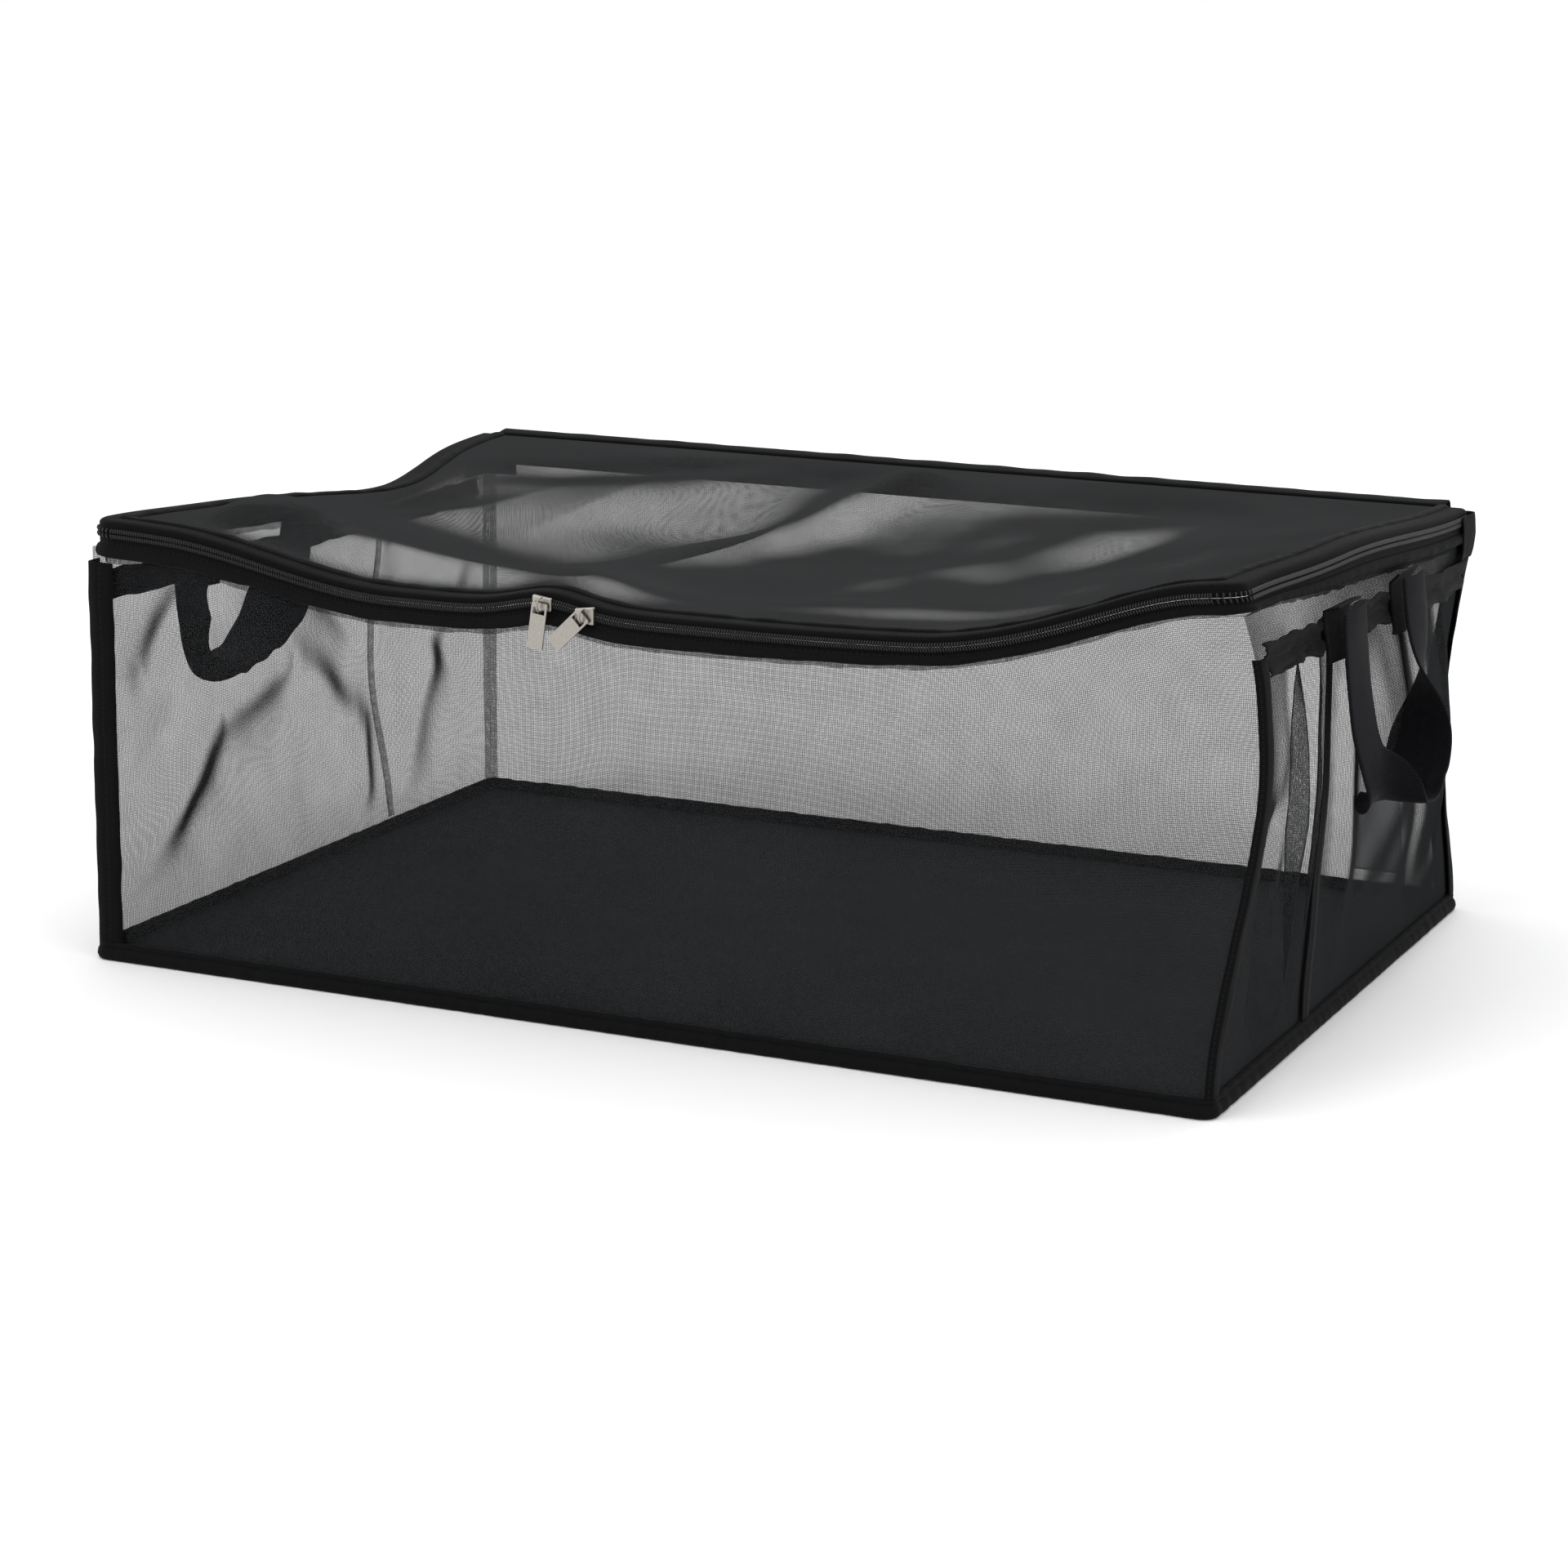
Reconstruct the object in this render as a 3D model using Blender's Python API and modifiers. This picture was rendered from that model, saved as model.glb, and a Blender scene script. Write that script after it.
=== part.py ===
"""Under-bed storage bag: see-through mesh walls on a woven bottom panel, closed by a zipped mesh lid.

The bag is laid out as a plain box, and slouch() then carries every sewn piece from the box to the
way the soft bag really stands: a front edge that sags, a front right corner that leans back, and
walls that belly out. Pieces laid side by side on the box stay side by side on the bag.
+X runs along the front, +Y from front to back, +Z up. The origin is the middle of the underside.
"""

import math

import bmesh
import bpy
from mathutils import Vector

# Driving dimensions, in metres.
WIDTH = 0.650
DEPTH = 0.450
HEIGHT = 0.240

GAP = 0.0005
BOTTOM_THICK = 0.0030
MESH_THICK = 0.0016
TAPE_THICK = 0.0010
TAPE_WIDTH = 0.0120
WALL_INSET = 0.0021
WALL_END = 0.0037
BASE_BINDING_TOP = 0.0110
BASE_CORNER = 0.0060

WALL_TOP = 0.2185
COIL_TALL = 0.0022
RIM_BINDING_TOP = 0.2240
ZIP_TAPE_TOP = 0.2310
RIM_INSET = 0.0010
RIM_CORNER = 0.0160
RIM_BACK_END = 0.0120
BACK_WALL_TOP = 0.2260

LID_LEVEL = HEIGHT
LID_TAPE_IN = 0.0120
LID_BINDING_IN = 0.0180
LID_SLAB_THICK = 0.0016
HINGE_Y = DEPTH / 2 + 0.0015
HINGE_Z = 0.2375
LID_BACK_Y = HINGE_Y - 0.0025
LID_BACK_BINDING = 0.0100

# The band that each end wall carries below its rim, where the handles are sewn.
BAND_LOW = 0.1970
BAND_HIGH = 0.2090
LEFT_SEAM_Y = 0.0950
RIGHT_SEAM_Y = -0.0700
SEAM_WIDTH = 0.0120

# Handles of flat webbing.
WEBBING_WIDTH = 0.0380
WEBBING_THICK = 0.0016
ANCHOR_HIGH = 0.2140
ANCHOR_LOW = 0.1890
HANDLE_STANDS = 0.0060
HANDLE_CLEARS = 0.0010
HANDLE_STEPS = 26
HANDLE_TWIST = math.radians(55.0)

# Zip sliders and their pull tabs.
SLIDER_WIDE = 0.0110
SLIDER_TALL = 0.0095
SLIDER_DEEP = 0.0024
TAB_WIDE = 0.0090
TAB_LONG = 0.0235
TAB_THICK = 0.0010
TAB_HEAD = 0.0012
EYE_HALF_WIDE = 0.0034
EYE_TOP = -0.0015
EYE_BOTTOM = -0.0049
BRIDGE_RADIUS = 0.0036
BRIDGE_STANDS = 0.0013
BRIDGE_WIRE = 0.0006
TAB_CORNER = 0.0009
# (slider, its tab, place along the front, how far the tab hangs askew in degrees)
SLIDERS = (
    ("left_slider", "left_pull_tab", -0.0435, 8.0),
    ("right_slider", "right_pull_tab", -0.0190, 46.0),
)

LABEL_WIDE = 0.0320
LABEL_TALL = 0.0440
LABEL_X = 0.2800
LABEL_LOW = 0.0180
LABEL_THICK = 0.0006

# Slouch of the soft bag: how far each part of it strays from the box, and over what distance.
FRONT_SAG = 0.0165
SAG_REACH = 0.3000
SAG_FROM_X = -0.2750
SAG_TO_X = 0.3000
SAG_EASES_OVER = 0.1400
SLIDER_LIFT = 0.0075
SLIDER_LIFT_X = -0.0435
SLIDER_LIFT_REACH = 0.0280
CORNER_LEAN = 0.0760
CORNER_LEAN_RETURN = 0.2200
CORNER_TUCK = 0.0140
CORNER_REACH = 0.1300
RIGHT_RISE = 0.0150
RIGHT_RISE_REACH = 0.0750
LEFT_RISE = 0.0070
LEFT_RISE_REACH = 0.0900
LID_SAG = 0.0180
LEFT_BELLY = 0.0150
RIGHT_BELLY = 0.0160
BACK_BELLY = 0.0100
FRONT_BELLY = 0.0040
BELLY_REACH = 0.0800
BACK_CORNER_TUCK = 0.0120
BACK_CORNER_REACH = 0.0600

COARSE = 0.0340
FINE = 0.0150
Z_STEP = 0.0200


def ease(t):
    """A smooth step from 0 to 1."""
    t = min(max(t, 0.0), 1.0)
    return t * t * (3.0 - 2.0 * t)


def bell(distance, reach):
    return math.exp(-((distance / reach) ** 2))


def slouch(x, y, z):
    """Where a point of the plain box stands on the soft bag."""
    h = min(max((z - BASE_BINDING_TOP) / (HEIGHT - BASE_BINDING_TOP), 0.0), 1.0)
    belly = max(math.sin(math.pi * min(h / 0.92, 1.0)), 0.0) ** 1.3
    along = math.sin(math.pi * min(max((y + DEPTH / 2) / DEPTH, 0.0), 1.0) ** 1.5)
    across = math.sin(math.pi * min(max((x + WIDTH / 2) / WIDTH, 0.0), 1.0))
    from_front = y + DEPTH / 2
    from_right = WIDTH / 2 - x

    sag = FRONT_SAG * ease((x - SAG_FROM_X) / SAG_EASES_OVER) * ease((SAG_TO_X - x) / SAG_EASES_OVER)
    sag -= SLIDER_LIFT * bell(x - SLIDER_LIFT_X, SLIDER_LIFT_REACH)
    sag *= ease(1.0 - from_front / SAG_REACH) * h**2
    sag += LID_SAG * (across * along) ** 2 * h**8

    corner = bell(math.hypot(from_right, from_front), CORNER_REACH)
    lean = CORNER_LEAN * corner * (ease(h / 0.66) - CORNER_LEAN_RETURN * ease((h - 0.78) / 0.22))
    tuck = CORNER_TUCK * corner * h**4
    rise = RIGHT_RISE * bell(from_right, RIGHT_RISE_REACH) * ease((DEPTH / 2 - y) / 0.26)
    rise += LEFT_RISE * bell(math.hypot(WIDTH / 2 + x, from_front), LEFT_RISE_REACH)

    back_corner = bell(math.hypot(from_right, DEPTH / 2 - y), BACK_CORNER_REACH)
    dx = -tuck - BACK_CORNER_TUCK * back_corner * belly
    dx -= LEFT_BELLY * bell(x + WIDTH / 2, BELLY_REACH) * belly * along
    dx += RIGHT_BELLY * bell(from_right, BELLY_REACH) * belly * along**0.7 * ease((y + 0.10) / 0.20)
    dy = lean + BACK_BELLY * bell(DEPTH / 2 - y, BELLY_REACH) * belly * across
    dy -= FRONT_BELLY * bell(from_front, BELLY_REACH) * belly * across
    dz = rise * h**2 - sag
    return Vector((x + dx, y + dy, z + dz))


def stations(marks, step):
    """Marks in order, with even steps no longer than step between them."""
    out = [marks[0]]
    for a, b in zip(marks, marks[1:]):
        count = max(1, math.ceil(abs(b - a) / step - 1e-6))
        out += [a + (b - a) * i / count for i in range(1, count + 1)]
    return out


def between(values, low, high):
    return [v for v in values if low - 1e-6 <= v <= high + 1e-6]


# Grid lines that walls, tapes and bands share, so that neighbours bend alike.
HALF_W = WIDTH / 2
HALF_D = DEPTH / 2
WALL_Z = stations([BOTTOM_THICK + GAP, BASE_BINDING_TOP + GAP, BAND_LOW, BAND_HIGH, WALL_TOP], Z_STEP)
FRONT_X = stations([-HALF_W + WALL_END, -HALF_W + TAPE_WIDTH, -0.100], COARSE)[:-1]
FRONT_X += stations([-0.100, 0.020], FINE)[:-1]
FRONT_X += stations([0.020, 0.140], COARSE)[:-1]
FRONT_X += stations([0.140, HALF_W - TAPE_WIDTH, HALF_W - WALL_END], FINE)
BACK_X = [-HALF_W + WALL_END, -HALF_W + TAPE_WIDTH, HALF_W - TAPE_WIDTH, HALF_W - WALL_END]
BACK_X = stations(BACK_X, COARSE)
SIDE_Y = {
    -1: stations(
        [
            -HALF_D + WALL_END,
            -HALF_D + TAPE_WIDTH,
            LEFT_SEAM_Y - SEAM_WIDTH / 2,
            LEFT_SEAM_Y + SEAM_WIDTH / 2,
            HALF_D - TAPE_WIDTH,
            HALF_D - WALL_END,
        ],
        COARSE,
    ),
    1: stations(
        [
            -HALF_D + WALL_END,
            -HALF_D + TAPE_WIDTH,
            RIGHT_SEAM_Y - SEAM_WIDTH / 2,
            RIGHT_SEAM_Y + SEAM_WIDTH / 2,
            HALF_D - TAPE_WIDTH,
            HALF_D - WALL_END,
        ],
        FINE * 1.4,
    ),
}


# Scene helpers.
for old in list(bpy.data.objects):
    bpy.data.objects.remove(old)

parts = bpy.data.collections.new("under_bed_storage_bag")
bpy.context.scene.collection.children.link(parts)


def finish(name, colour, roughness, metallic=0.0):
    material = bpy.data.materials.new(name)
    material.use_nodes = True
    shader = material.node_tree.nodes["Principled BSDF"]
    shader.inputs["Base Color"].default_value = (*colour, 1.0)
    shader.inputs["Roughness"].default_value = roughness
    shader.inputs["Metallic"].default_value = metallic
    return material


MESH_CLOTH = ("mesh_cloth", (0.045, 0.048, 0.050), 0.75)
WOVEN_CLOTH = ("woven_cloth", (0.014, 0.018, 0.022), 0.80)
BLACK_TAPE = ("black_tape", (0.008, 0.008, 0.009), 0.70)
BLACK_WEBBING = ("black_webbing", (0.010, 0.010, 0.012), 0.72)
BLACK_NYLON = ("black_nylon", (0.012, 0.012, 0.013), 0.40)
SILVER_METAL = ("silver_metal", (0.62, 0.60, 0.56), 0.28, 1.0)
WHITE_LABEL = ("white_label", (0.62, 0.63, 0.66), 0.55)


def joint_empty(name, place, parent=None):
    """An empty on a joint's axis, which the pieces that move with the joint hang from."""
    empty = bpy.data.objects.new(name, None)
    empty.empty_display_size = 0.03
    parts.objects.link(empty)
    empty.parent = parent
    empty.location = Vector(place) - (world_place(parent) if parent else Vector())
    return empty


def world_place(thing):
    place = Vector()
    while thing is not None:
        place += thing.location
        thing = thing.parent
    return place


def piece(name, mesh, look, parent=None):
    """An object for a mesh in world coordinates, with its origin at its parent's place."""
    if parent is not None:
        shift = world_place(parent)
        for vertex in mesh.vertices:
            vertex.co -= shift
    mesh.materials.append(finish(name + "_" + look[0], *look[1:]))
    made = bpy.data.objects.new(name, mesh)
    parts.objects.link(made)
    made.parent = parent
    return made


def mesh_from(builder, name):
    mesh = bpy.data.meshes.new(name)
    builder.to_mesh(mesh)
    builder.free()
    return mesh


def cloth(name, rows, thick, look, parent=None, closed=False):
    """A sewn piece: an open grid of rows of points, given its thickness by Solidify."""
    grid = bmesh.new()
    lines = [[grid.verts.new(point) for point in row] for row in rows]
    pairs = list(zip(lines, lines[1:]))
    if closed:
        pairs.append((lines[-1], lines[0]))
    for one, two in pairs:
        for a, b, c, d in zip(one, one[1:], two[1:], two):
            grid.faces.new((a, b, c, d))
    made = piece(name, mesh_from(grid, name), look, parent)
    shell = made.modifiers.new("thickness", "SOLIDIFY")
    shell.thickness = thick
    shell.offset = 0.0
    shell.use_even_offset = True
    return made


def front_point(x, z, inset):
    return slouch(x, -HALF_D + inset, z)


def back_point(x, z, inset):
    return slouch(x, HALF_D - inset, z)


def side_point(side, y, z, inset):
    return slouch(side * (HALF_W - inset), y, z)


# Bottom panel and the binding round its edge.
def rounded_outline(half_x, half_y, radius, steps=4):
    """Points round a rectangle with round corners, anticlockwise from its right side."""
    points = []
    for quarter, (sx, sy) in enumerate(((1, 1), (-1, 1), (-1, -1), (1, -1))):
        for i in range(steps + 1):
            angle = math.pi / 2 * (quarter + i / steps)
            corner = Vector((sx * (half_x - radius), sy * (half_y - radius)))
            points.append(corner + radius * Vector((math.cos(angle), math.sin(angle))))
    return points


def bottom_panel():
    outline = bpy.data.curves.new("bottom_panel", "CURVE")
    outline.dimensions = "2D"
    outline.fill_mode = "BOTH"
    outline.extrude = BOTTOM_THICK / 2
    inset = WALL_INSET - MESH_THICK / 2
    points = rounded_outline(HALF_W - inset, HALF_D - inset, BASE_CORNER)
    spline = outline.splines.new("POLY")
    spline.points.add(len(points) - 1)
    for target, point in zip(spline.points, points):
        target.co = (point.x, point.y, 0.0, 1.0)
    spline.use_cyclic_u = True
    outline.materials.append(finish("bottom_panel_woven_cloth", *WOVEN_CLOTH[1:]))
    panel = bpy.data.objects.new("bottom_panel", outline)
    panel.location = (0.0, 0.0, BOTTOM_THICK / 2)
    parts.objects.link(panel)
    weld = panel.modifiers.new("weld", "WELD")
    weld.merge_threshold = 0.00001


def base_binding():
    ring = rounded_outline(HALF_W + 0.0003, HALF_D + 0.0003, BASE_CORNER)
    levels = (0.0010, 0.0060, BASE_BINDING_TOP)
    rows = [[Vector((p.x, p.y, z)) for z in levels] for p in ring]
    cloth("base_binding", rows, 0.0014, BLACK_TAPE, closed=True)


# Walls, corner tapes and the bands on the end walls.
def walls():
    rows = [[front_point(x, z, WALL_INSET) for z in WALL_Z] for x in FRONT_X]
    cloth("front_mesh_wall", rows, MESH_THICK, MESH_CLOTH)
    back_z = WALL_Z[:-1] + [BACK_WALL_TOP]
    rows = [[back_point(x, z, WALL_INSET) for z in back_z] for x in reversed(BACK_X)]
    cloth("back_mesh_wall", rows, MESH_THICK, MESH_CLOTH)
    for side, name in ((-1, "left_mesh_wall"), (1, "right_mesh_wall")):
        rows = [[side_point(side, y, z, WALL_INSET) for z in WALL_Z] for y in SIDE_Y[side][:: side]]
        cloth(name, rows, MESH_THICK, MESH_CLOTH)


def corner_tapes():
    levels = between(WALL_Z, BASE_BINDING_TOP, WALL_TOP)
    levels[0] += GAP
    for side, across in ((-1, "left"), (1, "right")):
        for end, along in ((-1, "front"), (1, "back")):
            corner = Vector((side * HALF_W, end * HALF_D))
            outline = (
                corner - Vector((side * TAPE_WIDTH, 0.0)),
                corner - Vector((side * BASE_CORNER, 0.0)),
                corner,
                corner - Vector((0.0, end * BASE_CORNER)),
                corner - Vector((0.0, end * TAPE_WIDTH)),
            )
            rows = [[slouch(p.x, p.y, z) for z in levels] for p in outline]
            rows = rows[:: -side * end]
            cloth(f"corner_tape_{along}_{across}", rows, TAPE_THICK, BLACK_TAPE)


def end_wall_tapes():
    for side, across, seam_y in ((-1, "left", LEFT_SEAM_Y), (1, "right", RIGHT_SEAM_Y)):
        levels = between(WALL_Z, BASE_BINDING_TOP, BAND_LOW)
        levels[0] += GAP
        levels[-1] -= GAP
        places = between(SIDE_Y[side], seam_y - SEAM_WIDTH / 2, seam_y + SEAM_WIDTH / 2)
        rows = [[side_point(side, y, z, 0.0) for z in levels] for y in places[:: side]]
        cloth(f"{across}_seam_tape", rows, TAPE_THICK, BLACK_TAPE)

        places = between(SIDE_Y[side], -HALF_D + TAPE_WIDTH, HALF_D - TAPE_WIDTH)
        places[0] += GAP
        places[-1] -= GAP
        levels = (BAND_LOW, BAND_HIGH)
        rows = [[side_point(side, y, z, 0.0) for z in levels] for y in places[:: side]]
        cloth(f"{across}_handle_band", rows, TAPE_THICK, BLACK_TAPE)


def care_label():
    """A blank label sewn inside the back wall."""
    inside = WALL_INSET + MESH_THICK / 2 + GAP + LABEL_THICK
    places = (LABEL_X - LABEL_WIDE / 2, LABEL_X, LABEL_X + LABEL_WIDE / 2)
    levels = stations([LABEL_LOW, LABEL_LOW + LABEL_TALL], 0.010)
    clear = Vector((0.0, 0.0012, 0.0))
    rows = [[back_point(x, z, inside) - clear for z in levels] for x in reversed(places)]
    cloth("care_label", rows, LABEL_THICK, WHITE_LABEL)


# Rim: three sides of the top edge, which the zip follows.
def rim_path():
    """(place, outward direction) along the left side, the front and the right side."""
    path = []
    for y in reversed(between(SIDE_Y[-1], -HALF_D + RIM_CORNER + 0.004, HALF_D - RIM_BACK_END)):
        path.append((Vector((-HALF_W, y)), Vector((-1.0, 0.0))))
    for side in (-1, 1):
        centre = Vector((side * (HALF_W - RIM_CORNER), -HALF_D + RIM_CORNER))
        arc = []
        for i in range(5):
            angle = math.pi / 2 * i / 4
            out = Vector((side * math.cos(angle), -math.sin(angle)))
            arc.append((centre + RIM_CORNER * out, out))
        if side < 0:
            path += arc
            for x in between(FRONT_X, -HALF_W + RIM_CORNER + 0.004, HALF_W - RIM_CORNER - 0.004):
                path.append((Vector((x, -HALF_D)), Vector((0.0, -1.0))))
        else:
            path += reversed(arc)
    for y in between(SIDE_Y[1], -HALF_D + RIM_CORNER + 0.004, HALF_D - RIM_BACK_END):
        path.append((Vector((HALF_W, y)), Vector((1.0, 0.0))))
    return path


def rim_strip(name, profile, thick, look, parent=None):
    """A strip along the rim; its profile is a list of (distance in from the box's side, height)."""
    rows = []
    for place, out in rim_path():
        row = []
        for inward, z in profile:
            point = place - out * inward
            row.append(slouch(point.x, point.y, z))
        rows.append(row)
    return cloth(name, rows, thick, look, parent)


def body_rim():
    profile = [(RIM_INSET, WALL_TOP + GAP), (RIM_INSET, RIM_BINDING_TOP)]
    rim_strip("body_rim_binding", profile, 0.0022, BLACK_TAPE)
    profile = [(RIM_INSET, RIM_BINDING_TOP + GAP), (RIM_INSET, ZIP_TAPE_TOP)]
    rim_strip("body_zip_tape", profile, 0.0012, BLACK_NYLON)
    low = ZIP_TAPE_TOP + GAP
    rim_strip("body_zip_coil", [(RIM_INSET, low), (RIM_INSET, low + COIL_TALL)], 0.0020, BLACK_NYLON)
    levels = (BACK_WALL_TOP + GAP, HINGE_Z - 0.0012)
    rows = [[back_point(x, z, 0.0002) for z in levels] for x in reversed(BACK_X[2:-2])]
    cloth("hinge_binding", rows, 0.0016, BLACK_TAPE)


def zip_end_tabs():
    """Short fabric tabs over the two ends of the zip, at the back corners."""
    for side, across in ((-1, "left"), (1, "right")):
        places = (HALF_D - RIM_BACK_END - 0.014, HALF_D - RIM_BACK_END - 0.004, HALF_D - 0.004)
        levels = (WALL_TOP + GAP, RIM_BINDING_TOP, ZIP_TAPE_TOP, LID_LEVEL)
        rows = [[side_point(side, y, z, -0.0018) for z in levels] for y in places[:: side]]
        cloth(f"{across}_zip_end_tab", rows, TAPE_THICK, BLACK_TAPE)


def lid(hinge):
    low = ZIP_TAPE_TOP + GAP + COIL_TALL + GAP
    rim_strip("lid_zip_coil", [(RIM_INSET, low), (RIM_INSET, low + COIL_TALL)], 0.0020, BLACK_NYLON, hinge)
    low += COIL_TALL + GAP
    turn = RIM_INSET + 0.0020
    profile = [(RIM_INSET, low), (RIM_INSET, LID_LEVEL - 0.0015)]
    profile += [(turn, LID_LEVEL), (LID_TAPE_IN, LID_LEVEL)]
    rim_strip("lid_zip_tape", profile, 0.0012, BLACK_NYLON, hinge)
    profile = [(LID_TAPE_IN + GAP, LID_LEVEL), (LID_BINDING_IN, LID_LEVEL)]
    rim_strip("lid_edge_binding", profile, 0.0020, BLACK_TAPE, hinge)

    inset = LID_BINDING_IN + 3 * GAP
    marks = [-HALF_W + inset] + between(FRONT_X, -HALF_W + inset + FINE / 2, HALF_W - inset - FINE / 2)
    marks.append(HALF_W - inset)
    places = stations([-HALF_D + inset, LID_BACK_Y - LID_BACK_BINDING - GAP], COARSE)
    rows = [[slouch(x, y, LID_LEVEL) for y in places] for x in marks]
    cloth("lid_mesh_panel", rows, LID_SLAB_THICK, MESH_CLOTH, hinge)
    places = (LID_BACK_Y - LID_BACK_BINDING, LID_BACK_Y)
    rows = [[slouch(x, y, LID_LEVEL) for y in places] for x in marks]
    cloth("lid_back_binding", rows, 0.0020, BLACK_TAPE, hinge)


# Handles.
def webbing(name, path, wide, thick, look, parent=None):
    """A flat strap: path is a list of (place, direction across the strap)."""
    strap = bmesh.new()
    rings = []
    for i, (place, across) in enumerate(path):
        before, after = path[max(i - 1, 0)][0], path[min(i + 1, len(path) - 1)][0]
        along = (after - before).normalized()
        across = (across - along * across.dot(along)).normalized()
        face = along.cross(across)
        out, up = across * wide / 2, face * thick / 2
        corners = (-out - up, out - up, out + up, up - out)
        rings.append([strap.verts.new(place + corner) for corner in corners])
    for one, two in zip(rings, rings[1:]):
        for i in range(4):
            j = (i + 1) % 4
            strap.faces.new((one[i], one[j], two[j], two[i]))
    strap.faces.new(rings[0][::-1])
    strap.faces.new(rings[-1])
    bmesh.ops.triangulate(strap, faces=strap.faces)
    bmesh.ops.recalc_face_normals(strap, faces=strap.faces)
    return piece(name, mesh_from(strap, name), look, parent)


def handle(side, across, front_y, rear_y, drop, stand):
    """A loop of webbing whose two ends are sewn to the end wall, and which hangs down outside it."""
    for place, y in (("front", front_y), ("rear", rear_y)):
        levels = stations([ANCHOR_LOW, ANCHOR_HIGH], 0.008)
        widths = (y - WEBBING_WIDTH / 2, y, y + WEBBING_WIDTH / 2)
        rows = [[side_point(side, v, z, -0.0028) for z in levels] for v in widths[:: side]]
        cloth(f"{across}_handle_{place}_end", rows, WEBBING_THICK, BLACK_WEBBING)

    front_top = side_point(side, front_y, ANCHOR_HIGH, -HANDLE_STANDS)
    rear_top = side_point(side, rear_y, ANCHOR_HIGH, -HANDLE_STANDS)
    pivot = (front_top + rear_top) / 2
    pivot.z = max(front_top.z, rear_top.z) + HANDLE_CLEARS
    pivot.x = side * max(abs(front_top.x), abs(rear_top.x))
    empty = joint_empty(f"{across}_handle_axis", pivot)

    half = abs(rear_top.y - front_top.y) / 2
    path = []
    for i in range(HANDLE_STEPS + 1):
        t = i / HANDLE_STEPS
        swing = math.pi * t
        depth = math.sin(swing)
        y = pivot.y - half * math.cos(swing) * (1.0 - 0.10 * depth)
        z = pivot.z - drop * depth**0.62
        x = pivot.x + side * (0.004 + stand * depth**0.7)
        twist = ease(min(t, 1.0 - t) / 0.34) * HANDLE_TWIST
        turn = 1.0 if t < 0.5 else -1.0
        across_way = Vector((side * math.sin(twist) * turn, math.cos(twist), 0.0))
        if t >= 0.5:
            across_way = -across_way
        path.append((Vector((x, y, z)), across_way))
    webbing(f"{across}_handle", path, WEBBING_WIDTH, WEBBING_THICK, BLACK_WEBBING, empty)


# Zip sliders.
def box_solid(low, high):
    solid = bmesh.new()
    bmesh.ops.create_cube(solid, size=1.0)
    size, middle = Vector(high) - Vector(low), (Vector(high) + Vector(low)) / 2
    for vertex in solid.verts:
        vertex.co = Vector([vertex.co[k] * size[k] + middle[k] for k in range(3)])
    return solid


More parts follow.
